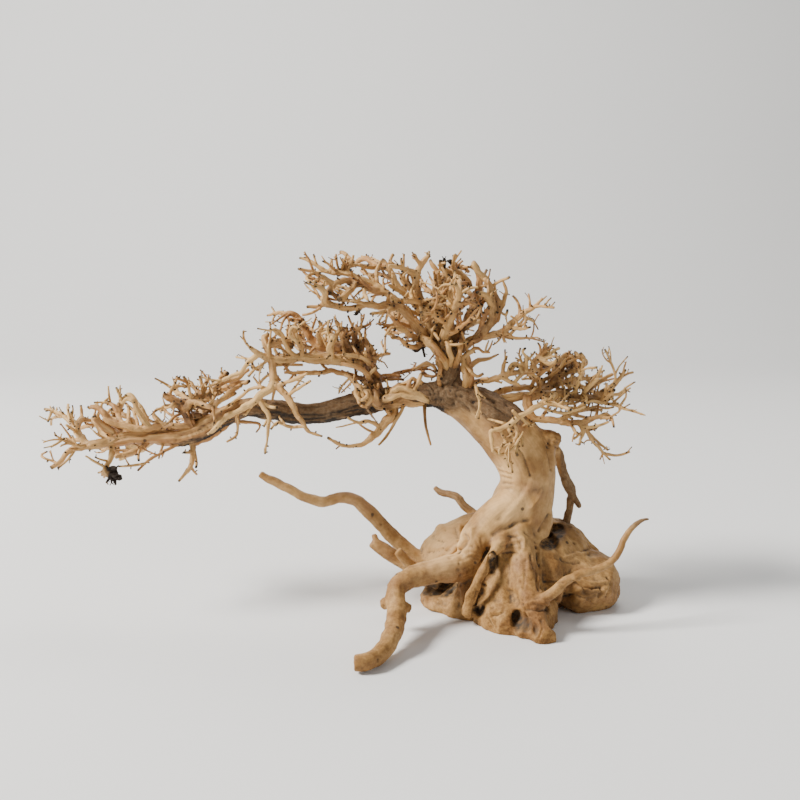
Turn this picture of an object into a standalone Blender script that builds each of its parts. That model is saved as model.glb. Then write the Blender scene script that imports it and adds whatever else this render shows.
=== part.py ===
"""Driftwood shaped like a bonsai tree: a leaning trunk on a root burl, with bare pads of twigs.

The wood grew as one piece, so it is parted only at its main forks. Each limb is one solid, made
of its main stem and the side twigs fused to it, and it stops a hair short of what it grew from.
Lengths in the plan are millimetres. A limb's point says where it is seen against the upright
plane through the trunk's foot (across, up) and the wood's radius there. How far a point lies
behind that plane (back) runs evenly along a stem, from the wood it grows from to its tip.
"""

import bpy
import bmesh
from mathutils import Vector, noise

MM = 0.001
FORK_GAP = 0.3
TWIG_WELD = 0.02
CUT_WELD = 0.002

# Where the plan's across and up are seen from.
EYE = Vector((-68.0, -563.0, 205.0))

# A stem whose tip has no depth of its own grows back onto the wood.
JOINS = None

# Stems no thicker than this get four sides, the others six.
FINE_RADIUS = 2.25
# The trunk is fused from its stems and lumps, then cut down to this many faces.
TRUNK_VOXEL = 2.2
TRUNK_FACES = 2200
# A limb's forks leave slivers, so each limb keeps only this share of its faces.
LIMB_SHARE = 0.76
RIPPLE_HEIGHT = 1.3
RIPPLE_LENGTH = 15.0

WOOD_TAN = (0.60, 0.42, 0.26, 1.0)
WOOD_ORANGE = (0.55, 0.34, 0.17, 1.0)
WOOD_GREY = (0.35, 0.26, 0.18, 1.0)

# The trunk, the dead stump on its shoulder, the crown's stub and the strut down the burl's
# front: across, up, back, radius.
TRUNK_STEMS = [
    [(10, 4, 0, 27), (9, 34, 0, 24), (9, 58, -2, 21), (13.5, 77, -3, 17.5), (11.5, 92, -3, 18.8),
     (1, 108, -2, 18.4), (-14, 121, 0, 16), (-28, 130, 2, 13), (-43, 135.5, 3, 10)],
    [(10, 98, -3, 13), (21, 103, -3, 10), (31, 105, -3, 6)],
    [(20, 103, -4, 8), (28, 109.5, -4, 3.6)],
    [(28, 104, -4, 5), (35, 107.5, -5, 1.8)],
    [(-34, 132, 3, 10), (-37, 142, 4, 7.6)],
    [(0, 46, -24, 4.2), (-6, 34, -36, 4.2), (-13, 22, -43, 4), (-19, 9, -46, 4), (-23, -4, -45, 4.2),
     (-25, -11, -42, 5)],
]

# Flares that run from the trunk down over the burl: real places, with the radius.
ROOT_FLARES = [
    [(4, -16, 54, 9), (7, -34, 32, 10), (9, -54, 14, 8), (12, -66, 4, 6)],
    [(7, -10, 68, 12), (-7, -14, 58, 12.5), (-18, -20, 48, 11.5), (-24, -24, 37, 10.5)],
    [(-2, -14, 46, 9), (-4, -28, 26, 11), (-5, -42, 10, 11)],
    [(16, -12, 46, 9), (22, -24, 26, 11), (23, -31, 9, 9)],
    [(-6, -10, 50, 8), (-16, -22, 30, 9), (-30, -30, 8, 7)],
    [(-10, 8, 50, 9), (-30, 14, 40, 10), (-44, 14, 30, 9), (-51, 12, 10, 8)],
    [(22, -6, 42, 10), (40, -10, 26, 11), (58, -6, 13, 10)],
    [(22, 12, 44, 10), (42, 26, 34, 11), (60, 22, 18, 9)],
    [(8, 18, 46, 11), (12, 40, 28, 11), (14, 54, 10, 9)],
    [(-6, 14, 48, 9), (-22, 36, 28, 10), (-34, 46, 10, 8)],
]

# Rounded masses of the burl: real centre and half sizes.
BURL_LUMPS = [
    ((6, 2, 16), (40, 38, 26)),
    ((34, 6, 21), (24, 30, 28)),
    ((50, -4, 14), (24, 30, 20)),
    ((-32, 12, 19), (23, 24, 26)),
    ((-36, 14, 36), (9, 10, 11)),
    ((-41, 13, 40), (4.5, 7, 7.5)),
    ((2, 32, 10), (38, 24, 20)),
    ((2, -35, 4), (26, 26, 18)),
    ((7, -55, 5), (10, 13, 12)),
    ((12, -66, 3), (7, 7, 9)),
    ((17, -68, 2), (6, 5, 6)),
    ((-24, -18, 2), (20, 19, 14)),
    ((-38, -6, 3), (18, 22, 7)),
]

# Hollows worn into the burl and a rot hole through its top: real centre and half sizes.
BURL_HOLLOWS = [
    ((29, -6, 50), (6, 10, 12)),
    ((1, -66, 10), (4, 12, 8)),
    ((-12, -42, 30), (4, 10, 8)),
    ((44, -34, 15), (15, 9, 3)),
    ((-42, -44, 16), (12, 14, 6)),
]

# Roots: across, up, back, radius.
ROOTS = {
    "root_front_left": [
        [(-4, 30, -12, 12), (-20, 25, -23, 11), (-34, 21, -32, 9.3), (-50, 18, -39, 7.8),
         (-64, 13, -45, 6.8), (-71, 7, -51, 6.6), (-70.5, -3, -60, 6.4), (-70.5, -12, -69, 6.6),
         (-73, -24, -84, 6.6), (-80, -36, -97.5, 6.2), (-89, -42, -108, 5.8), (-98, -43, -110, 5.6)],
        [(-69, -3, -60, 4), (-61, -6, -58, 3)],
        [(-72, -1, -58, 4.5), (-79, -3, -52, 4)],
    ],
    "root_far_left": [
        [(-40, 20, 6, 6.5), (-55, 27, 8, 5.6), (-66, 36, 10, 5), (-79, 49, 12, 4.5), (-88, 59, 14, 4.5),
         (-97, 66.5, 15, 4), (-106, 68, 17, 3.8), (-119, 65, 19, 3.5), (-132, 70, 21, 3.2),
         (-145, 77, 23, 3), (-157.5, 83.5, 25, 2.4)],
    ],
    "root_stub_left": [
        [(-42, 12, -10, 6), (-58, 21, -12, 5.2), (-72, 29, -12, 4.8), (-80, 34.5, -12, 4.5),
         (-86.5, 39, -12, 4)],
        [(-82, 36, -12, 2.6), (-85, 44, -10, 1.8)],
        [(-56, 20, -13, 4), (-63, 25, -20, 3.6), (-70, 33, -22, 3)],
    ],
    "root_back": [
        [(0, 44, 8, 4.5), (-15, 52, 24, 3.4), (-20, 57, 30, 3), (-27, 63, 34, 2.9), (-33, 69, 38, 2.6),
         (-42, 71, 42, 2.2), (-46, 75, 44, 1.5)],
    ],
    "root_right_front": [
        [(10, -6, -44, 6), (16, -4, -54, 4.8), (24, -1, -57, 4.1), (33, 6, -57, 3.6), (40, 13, -56, 3.2),
         (50, 18, -54, 2.9), (60, 20.5, -52, 2.7), (67, 25, -50, 2.5), (73, 32, -48, 2.4),
         (77, 42, -46, 2.2), (83, 50, -44, 1.9), (87, 53, -43, 1.5), (91.5, 54, -42, 1.1)],
    ],
    "root_hanging_right": [
        [(26, 100, 4, 4), (32.5, 97, 9, 3.6), (34, 90, 10, 3.5), (37.5, 82, 12, 3.3), (42, 73, 14, 3),
         (41, 66, 15, 2.8), (40, 60, 16, 2.6), (38, 46, 18, 2.6)],
        [(37, 82, 11, 2.6), (38, 76, 10, 2.5), (43.5, 68, 8, 2.4), (48, 61, 6, 1.7)],
    ],
}

# The bough that sweeps low to the left, with the small twigs that grow straight from it.
BOUGH = {
    "bough_left": ("trunk", [
        (-20, [(-34, 134, 9), (-48, 135, 8), (-60, 134.5, 7.5), (-80, 131, 7.5), (-100, 127, 7.5),
               (-120, 122.5, 7), (-135, 122, 7), (-150, 125, 6.5), (-165, 126, 6), (-180, 120, 6),
               (-192, 113, 6), (-203, 108, 6), (-215, 107, 5.5), (-230, 107, 5), (-250, 105, 4.3)]),
        (-8, [(-182, 121, 3), (-195, 119, 2.6), (-204, 114.5, 2.5), (-220, 112.5, 2.4), (-243, 114, 1.8)]),
        (-26, [(-246, 106, 2.8), (-255, 113, 2.4), (-262, 119, 1.8)]),
        (-9, [(-48, 130, 2), (-55, 131, 4), (-66, 131, 4.6), (-76, 129, 4), (-84, 128, 2.4)]),
        (4, [(-64, 132, 3), (-70, 141, 2)]),
        (-2, [(-56, 133, 3), (-55, 143, 1.8)]),
        (-16, [(-64, 129, 1.3), (-70, 119, 1), (-77, 107, .9), (-81.5, 102, .7)]),
        (-18, [(-51, 131, 1.4), (-52.5, 121, 1), (-51, 111, .9), (-48.5, 102, .7)]),
        (-20, [(-94, 130, 1.8), (-89, 125, 1.3), (-81.5, 115.5, .8)]),
        (-26, [(-219, 107, 1.3), (-218.5, 103, 1), (-221.5, 93, .6)]),
    ]),
    "bough_tip_low": ("bough_left", [
        (-36, [(-246, 104.5, 3.8), (-262, 102, 3), (-270, 101, 2.6), (-277, 98.5, 2), (-281, 95, 1.8),
               (-284, 91, 1.6), (-291, 87.5, 1.4)]),
        (-30, [(-286, 90, 1), (-296, 95, .8), (-292, 98, .6)]),
        (-44, [(-268, 101.5, 1.5), (-277, 103, 1.2), (-287, 108.5, .8)]),
        (-50, [(-282, 105.5, 1), (-289, 101, .7)]),
        (-16, [(-262, 102.5, 1.8), (-272, 105, 1.4), (-282, 106, .8)]),
    ]),
    "bough_tip_up": ("bough_tip_low", [
        (-6, [(-266, 102, 2.7), (-272, 109, 2.5), (-276, 116, 1.8), (-283, 122.5, 1.2), (-293, 125.5, .9)]),
        (4, [(-281, 120.5, 1.1), (-288, 119, .9), (-289, 115, .7)]),
        (-16, [(-288, 124, 1), (-291, 117, .7)]),
        (-18, [(-276, 116, 1.1), (-275.5, 123.5, .8)]),
        (4, [(-274, 112, 1.8), (-269.5, 118, 2), (-260, 116.5, .9)]),
        (-28, [(-272, 110, 1.2), (-279, 115, .9)]),
    ]),
    "bough_tip_drop": ("bough_left", [
        (-34, [(-249, 104.5, 2.4), (-252, 95, 1.9), (-255, 88, 1.8), (-255, 84, 2), (-250.5, 82, 3.4),
               (-247, 81, 2.2)]),
        (-32, [(-251, 83, 1.8), (-249.5, 76, .6)]),
        (-36, [(-252, 82.5, 1.8), (-256, 77.5, .6)]),
        (-38, [(-255, 87, 1), (-263, 92, .8), (-268, 95, .6)]),
    ]),
    "bough_tip_top": ("bough_left", [
        (6, [(-222, 108, 3), (-240, 114.5, 2.2), (-250, 118, 2), (-255, 123, 1.6), (-260, 127.5, 1.3),
             (-265, 125.5, .9)]),
        (0, [(-236, 113, 2.2), (-239, 119, 2), (-244, 122, 1.9), (-251, 129, 1.2)]),
        (10, [(-244, 122, 1.3), (-245, 129, 1), (-244.5, 138, .7)]),
        (JOINS, [(-245.5, 124, 1.9), (-242, 131, 1.8), (-238, 133.2, 1.8), (-233, 127, 1.8), (-224, 110, 1.9)]),
    ]),
    "bough_tip_back": ("bough_left", [
        (22, [(-234, 107, 2.8), (-246, 111, 2.2), (-258, 115, 1.7), (-271, 113, 1)]),
        (30, [(-248, 111.5, 1.6), (-254, 121, 1)]),
        (14, [(-240, 109, 1.8), (-247, 102, 1.3), (-258, 99, .9)]),
    ]),
    "twig_under_tip": ("bough_left", [
        (-30, [(-228, 107, 2.4), (-232, 100, 1.9), (-243, 96, 1.8), (-249.5, 94, 1.5)]),
        (-33, [(-233.5, 99.5, 1.2), (-234.5, 92, .8)]),
    ]),
    "twig_under": ("bough_left", [
        (-34, [(-205, 108, 1.9), (-209, 103, 1.4), (-220, 97, 1.1), (-229, 91, 1), (-235.5, 85.5, .8)]),
        (-38, [(-230, 90.2, .9), (-240, 88.5, .8), (-247.5, 88, .6)]),
    ]),
    "twig_drop": ("bough_left", [
        (-22, [(-199, 109.5, 2.6), (-200, 98, 1.9), (-200.3, 92.5, 1.7), (-204, 85, 1.5), (-209.3, 78, .8)]),
        (-27, [(-200, 97.5, 1.2), (-205.5, 97.3, .8)]),
    ]),
    "knot_limb": ("bough_left", [
        (-20, [(-199, 110, 4.5), (-202, 119, 4.2), (-204, 124, 3.8), (-209, 129.5, 3), (-217, 134, 1.6)]),
        (-28, [(-204, 124.5, 2.4), (-200, 130, 2), (-193, 128.5, 1.8), (-186, 126, 1.4)]),
        (-10, [(-212, 131.5, 1.5), (-213, 136, 1.3), (-209, 139.5, 1.3), (-202, 139, .9)]),
        (-30, [(-200, 129.5, 1.5), (-200, 137, 1.2), (-204, 146, .9)]),
        (-38, [(-202.3, 142.5, 1), (-208.5, 144.5, .8)]),
        (-4, [(-203, 123, 2.6), (-198, 132.5, 2.2), (-191, 133.5, 2), (-186, 137, 1.9), (-181, 140.5, 1.3)]),
        (-14, [(-193, 133.5, 1.2), (-192.5, 139, 1), (-194, 146.5, .7)]),
        (6, [(-183, 139, 1.3), (-180, 147.5, .8)]),
        (-30, [(-207, 127, 1.6), (-216, 127, 1.2), (-223, 124, .8)]),
    ]),
    "knot_limb_back": ("bough_left", [
        (26, [(-188, 116, 3), (-194, 124, 2.5), (-202, 132, 2), (-212, 138, 1.1)]),
        (32, [(-194, 125, 1.8), (-188, 134, 1.5), (-180, 142, .9)]),
        (28, [(-200, 130, 1.6), (-210, 128, 1.2), (-220, 124, .8)]),
        (16, [(-191, 120, 1.6), (-198, 118, 1.3), (-208, 119, .8)]),
    ]),
    "loop_limb": ("bough_left", [
        (-20, [(-70, 132, 3.6), (-73, 121.5, 3.4), (-77, 117, 3.2), (-82, 111, 2.6), (-88, 105, 2.1),
               (-93, 101.8, 1.5), (-101, 101.2, 1.2), (-108, 103.5, 1.1), (-114, 107, .9)]),
        (-22, [(-80, 113.5, 1.5), (-88, 117, 1.3), (-95, 116, 1.1), (-101, 119.5, .8)]),
    ]),
}

# The pad above the bough's middle.
MIDDLE_PAD = {
    "pad_stem": ("bough_left", [
        (8, [(-80, 131, 6), (-86, 146, 5.4), (-92, 157, 4.8), (-100, 161, 4.2), (-110, 163.5, 3.9),
             (-120, 166, 3), (-125, 171, 2.5), (-128.5, 177.5, 2.1), (-131.5, 183, 1.8),
             (-136, 185.5, 1.6), (-142, 183, 1)]),
        (18, [(-134, 185, 1.4), (-144, 185.5, 1.2), (-151, 184, .8)]),
        (-10, [(-116, 165.5, 2), (-119.5, 172, 1.6), (-117, 176.5, 1.4), (-118.5, 181, .9)]),
        (-6, [(-86, 147, 3.4), (-84.5, 157, 2.8), (-87, 166, 1.6)]),
        (-4, [(-97, 160, 3), (-101, 168, 2.6), (-105, 175, 2), (-108.5, 181, 1)]),
        (14, [(-93, 158, 2.6), (-96, 169, 2), (-95, 178.5, .9)]),
        (22, [(-105, 163, 2.4), (-110, 170, 2), (-113, 176, 1)]),
        (-16, [(-85, 144, 2), (-91, 144, 1.7), (-101, 147, 1.6), (-110.5, 149, 1.6), (-120, 148.5, 1.5),
               (-141, 148, 1.2)]),
    ]),
    "pad_long_limb": ("pad_stem", [
        (-20, [(-89, 152, 4.8), (-98, 155, 4.4), (-106, 156, 4), (-120, 157, 3.2), (-130, 158, 3),
               (-140, 156, 2.6), (-150, 157, 2.5), (-156, 160, 2), (-162.5, 164.5, 1.2)]),
        (-10, [(-150, 157, 2.6), (-151, 165, 2.5), (-152.5, 170, 2), (-150, 173, 1.2)]),
        (-14, [(-150.5, 164, 2.4), (-142, 168, 2.3), (-135, 165, 1.8)]),
        (-30, [(-131, 158, 1.8), (-137, 162, 1.5), (-141, 169, 1.3), (-144, 174.5, 1.2), (-150, 175, 1)]),
        (-22, [(-129, 158, 2), (-130, 166, 3), (-134, 173, 3.6), (-136, 178, 1.4)]),
        (-34, [(-110, 156.5, 2.4), (-112, 163, 2), (-110, 171, 1.2)]),
        (-10, [(-157, 160.5, 1.8), (-165, 152.5, 1.5), (-168, 148, 1.4), (-176, 145, 1.3), (-190, 139, .9)]),
    ]),
    "pad_back_limb": ("pad_stem", [
        (46, [(-88, 150, 3.4), (-96, 154, 2.8), (-110, 159, 2.2), (-124, 164, 1.7), (-137, 168, 1)]),
        (40, [(-104, 157, 2), (-107, 166, 1.6), (-114, 176, 1)]),
        (50, [(-118, 162, 1.6), (-131, 158, 1.3), (-145, 160, .8)]),
        (30, [(-94, 153, 1.8), (-84, 158, 1.5), (-74, 160, 1)]),
    ]),
    "pad_link": ("pad_stem", [
        (20, [(-84, 141, 2), (-78, 144.5, 1.6), (-70, 147.5, 1.4), (-60, 150, 1.2), (-52, 151, 1),
              (-46.5, 149, .8)]),
        (26, [(-74, 146, 1.2), (-66, 143.5, .8)]),
    ]),
    "fork_legs": ("pad_long_limb", [
        (-20, [(-149, 157, 2.6), (-148, 150, 2.7), (-147, 143, 2.7, -17), (-144, 138.5, 2.4, -19),
               (-139.5, 133.5, 2.2, -20), (-135.5, 127, 2, -21), (-133, 121.5, 1.8, -21),
               (-129.5, 116, 1.5), (-125.5, 110.5, 1.2), (-117, 107.5, .9)]),
        (-22, [(-147, 143, 2.6), (-149, 138.5, 2.5), (-155, 135, 2.5, -19), (-161, 129, 2.4, -20),
               (-170, 124, 2), (-177, 120.5, 1.8), (-184.5, 113, 1.4), (-190, 109, .9)]),
        (-24, [(-158, 132, 1.7), (-154, 125.5, 1.6, -21), (-151, 120, 1.4), (-152, 109.5, 1.1), (-154, 96, .7)]),
        (-30, [(-139.5, 133.5, 1.2), (-131.5, 138.5, 1), (-124, 143, .8)]),
        (-30, [(-145, 140, 1.5), (-131.5, 145, 1.3), (-126, 148, .9)]),
        (-26, [(-171, 123.5, 1.3), (-171, 114.5, 1), (-172.5, 107.5, .9), (-178, 104, .7)]),
        (-26, [(-128, 114, 1.2), (-139, 114, 1.1), (-146, 116.5, 1), (-150, 112, .7)]),
        (-18, [(-150, 138, 1.2), (-160, 139, 1.1), (-169, 133, 1), (-181, 123.5, .7)]),
    ]),
}

# The crown.
CROWN = {
    "crown_stem": ("trunk", [
        (4, [(-36.5, 139, 8), (-38, 146, 7.4), (-36, 153, 6.2), (-38, 160, 6.8), (-42, 167, 5)]),
        (-14, [(-36, 154, 3), (-29.3, 156, 2.2), (-21.4, 163.7, 2), (-16.2, 161, 1.6), (-11.5, 161, 1)]),
        (12, [(-36, 150, 3.6), (-25.8, 151.4, 3), (-18.8, 155.8, 2.4), (-12.6, 156.7, 1.9), (-6, 160, 1)]),
    ]),
    "crown_low_left": ("crown_stem", [
        (-16, [(-40, 160, 3.8), (-50, 168, 3.3), (-56, 175, 3.1), (-60, 181, 3), (-66, 187.5, 2.8),
               (-74, 190.3, 2.3), (-82, 190, 2.1), (-90, 190, 2), (-100, 188, 1.9), (-109.5, 190, 1.9),
               (-115, 191, 1.7), (-120, 189.5, 1.3), (-126.5, 189.5, .8)]),
        (-26, [(-112, 190.5, 2.2), (-115.5, 194, 2.4), (-114.5, 198, 2), (-119, 202, 1.5), (-122.5, 201.5, .9)]),
        (-20, [(-70, 189, 1.8), (-78.6, 185.9, 1.3), (-87, 185.2, .9)]),
        (-4, [(-72, 189.8, 1.4), (-76, 184, 1), (-77, 178.5, .7)]),
        (-22, [(-52, 170, 2), (-59.8, 169.9, 1.7), (-66.4, 176.5, 1.5), (-74.2, 184, 1)]),
        (-26, [(-50, 167.5, 2), (-59.8, 164.2, 1.6), (-68.6, 169.5, 1.4), (-73, 169.5, .9)]),
        (-30, [(-64, 174, 1.4), (-72.9, 176, 1.2), (-77.4, 170.8, .8)]),
    ]),
    "crown_top_left": ("crown_low_left", [
        (6, [(-67, 188, 2.8), (-75, 197, 2.3), (-82, 202, 2), (-89.5, 205, 1.8), (-96, 208, 1.7),
             (-103, 210, 1.7), (-111, 210.5, 1.6), (-120.5, 215.5, 1.4), (-126.5, 218.5, 1.1),
             (-130.3, 219.6, .8)]),
        (-14, [(-77, 199, 2.4), (-87.5, 201, 2.2), (-94, 204.5, 2.2), (-103, 205.5, 2.2), (-109, 202.5, 2.1),
               (-112, 198, 1.8)]),
        (-24, [(-95, 204.5, 2.2), (-102.5, 196, 2.2), (-106.5, 194.5, 1.8)]),
        (-22, [(-90, 203, 1.7), (-90.5, 198, 1.5), (-88, 194, 1)]),
        (16, [(-108, 210, 1.9), (-102.5, 212.5, 1.7), (-98, 217.5, 1.5), (-102.5, 222, 1.2), (-105.5, 223.5, .8)]),
        (14, [(-110.5, 210.5, 1.4), (-110.3, 218.5, .9)]),
        (-20, [(-109, 203, 2.2), (-116.5, 208, 1.8), (-123.3, 211.4, 1.2), (-131.6, 213, .8)]),
        (-28, [(-121, 210.5, 1.2), (-125.5, 207.5, 1), (-123.4, 204.5, .8)]),
    ]),
    "crown_up_left": ("crown_stem", [
        (22, [(-40, 163, 3.6), (-49, 177, 3), (-57, 189, 2.6), (-66, 198, 2.3), (-70.8, 203, 2.2),
              (-73, 209.2, 2.1), (-76, 214.4, 1.9), (-79, 218.5, 1.2)]),
        (30, [(-74.5, 211.5, 1.6), (-81, 214.5, 1.4), (-89.5, 214.9, 1.2), (-97, 216.6, .9)]),
        (40, [(-72, 206, 1.5), (-80, 209.7, 1.4), (-86.5, 208.8, 1.3), (-92, 212, .9)]),
        (42, [(-76, 214, 1.4), (-84, 218, 1.2), (-92, 220.5, .9)]),
        (18, [(-75, 213, 1.3), (-72.5, 222, .8)]),
        (44, [(-60, 193, 1.8), (-66, 193, 1.5), (-78, 197, 1.2), (-88, 199, .8)]),
    ]),
    "crown_centre": ("crown_stem", [
        (-12, [(-42, 164, 3.6), (-46, 175, 3.2), (-50, 186, 3), (-56, 195, 2.8), (-58.3, 203.6, 2.4),
               (-57.8, 209.2, 2.2), (-55.7, 214.4, 2), (-52.2, 219.5, 1.6), (-49.5, 221, 1)]),
        (-16, [(-55.5, 215, 1.5), (-59.5, 221.5, 1)]),
        (-18, [(-58, 207, 2), (-62, 211.5, 1.9), (-68, 213.5, 1.7), (-75.6, 214.4, 1.1)]),
        (-24, [(-52, 190, 2), (-58, 193, 1.8), (-65, 192.8, 1.3)]),
        (-24, [(-50, 187, 2), (-40, 190.7, 1.9), (-31.4, 190.2, 1.4)]),
        (-22, [(-51, 188.5, 1.5), (-45.7, 194.6, 1.2), (-40, 199, .9)]),
    ]),
    "crown_middle": ("crown_stem", [
        (12, [(-40, 164, 3.4), (-40, 178, 3), (-43, 192, 2.6), (-46, 201, 2.3), (-45, 208, 2),
              (-46.6, 213.6, 1.7), (-49.5, 219, 1)]),
        (0, [(-45.5, 205, 2.2), (-38, 211, 2.1), (-31.4, 210, 2), (-26, 205.5, 1.8), (-23.5, 201, 1.2)]),
        (-6, [(-39, 210.5, 1.9), (-42, 213, 1.8), (-43, 217.5, 1.1)]),
        (-10, [(-33, 210.8, 1.6), (-35, 215, 1.4), (-34.4, 221.5, .8)]),
        (26, [(-45.5, 199, 2), (-38, 208, 1.9), (-30, 213.6, 1.8), (-25, 210.5, 1.1)]),
    ]),
    "crown_right": ("crown_stem", [
        (10, [(-38, 161, 3.6), (-30, 174, 3), (-24, 186, 2.6), (-20, 198, 2.3), (-18.6, 207, 2.1),
              (-20.5, 213, 1.9), (-22.7, 217.5, 1.1)]),
        (24, [(-27, 180, 2), (-18, 190, 1.7), (-14, 198, 1)]),
        (30, [(-21, 195, 1.8), (-28, 202, 1.5), (-32, 207, 1)]),
    ]),
    "crown_right_edge": ("crown_stem", [
        (-10, [(-37, 157, 3.4), (-25, 167, 3), (-15, 174, 2.6), (-11, 182, 2.4), (-10, 190, 2.3),
               (-11.5, 197.3, 2.2), (-12.5, 203, 2), (-15, 207, 1.4)]),
        (-4, [(-14, 176, 2), (-8.1, 180, 1.8), (-6.3, 185, 1.7), (-4.2, 191, 1.5), (-2, 199, 1.2),
              (-4.5, 206.5, .8)]),
        (-20, [(-10, 191, 2), (-14.5, 195.9, 1.9), (-20, 199, 1.3)]),
    ]),
    "crown_fan": ("crown_right_edge", [
        (-18, [(-18, 172, 2.6), (-10.4, 171.5, 2.3), (-2.2, 175.5, 2.1), (2.5, 180, 1.9), (9.2, 185, 1.8),
               (15.5, 189.6, 1.4), (20.5, 195, .7)]),
        (-26, [(13.5, 188.5, 1.2), (20, 189.6, 1), (27.8, 188.9, .7)]),
        (-10, [(8, 184, 1.2), (15.5, 180.3, .8)]),
        (-28, [(0, 178, 1.5), (7, 175.5, 1.2), (13.4, 176.9, .8)]),
        (-12, [(-4, 174.5, 1.6), (2.4, 170.5, 1.2), (10.2, 169.8, 1), (18.4, 170.5, .7)]),
        (-26, [(-4.5, 174, 1.2), (-2.7, 167.8, .8)]),
    ]),
    "crown_front": ("crown_stem", [
        (-44, [(-39, 160, 3.4), (-40, 171, 2.8), (-36, 183, 2.3), (-31, 195, 1.8), (-34, 204, 1.2)]),
        (-48, [(-38, 178, 1.9), (-47, 184, 1.6), (-55, 186, 1)]),
        (-40, [(-34, 187, 1.7), (-26, 192, 1.4), (-19, 190, .9)]),
        (-36, [(-39.5, 172, 1.8), (-31, 176, 1.5), (-23, 182, 1)]),
    ]),
    "crown_back": ("crown_stem", [
        (54, [(-38, 158, 3.8), (-36, 172, 3), (-39, 186, 2.5), (-46, 197, 2), (-57, 204, 1.2)]),
        (52, [(-37, 180, 2), (-28, 191, 1.7), (-18, 199, 1)]),
        (40, [(-42, 191, 1.8), (-43, 202, 1.5), (-36, 213, .9)]),
        (48, [(-36, 171, 2), (-24, 178, 1.6), (-11, 183, 1)]),
        (60, [(-37, 175, 1.8), (-48, 181, 1.5), (-58, 188, .9)]),
    ]),
    "crown_back_left": ("crown_stem", [
        (56, [(-39, 155, 3.4), (-50, 170, 2.8), (-62, 180, 2.3), (-76, 187, 1.8), (-92, 192, 1)]),
        (50, [(-68, 183.5, 1.7), (-73, 194, 1.4), (-82, 204, .9)]),
        (64, [(-56, 175.5, 1.6), (-66, 174, 1.3), (-76, 172, .8)]),
    ]),
}

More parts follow.
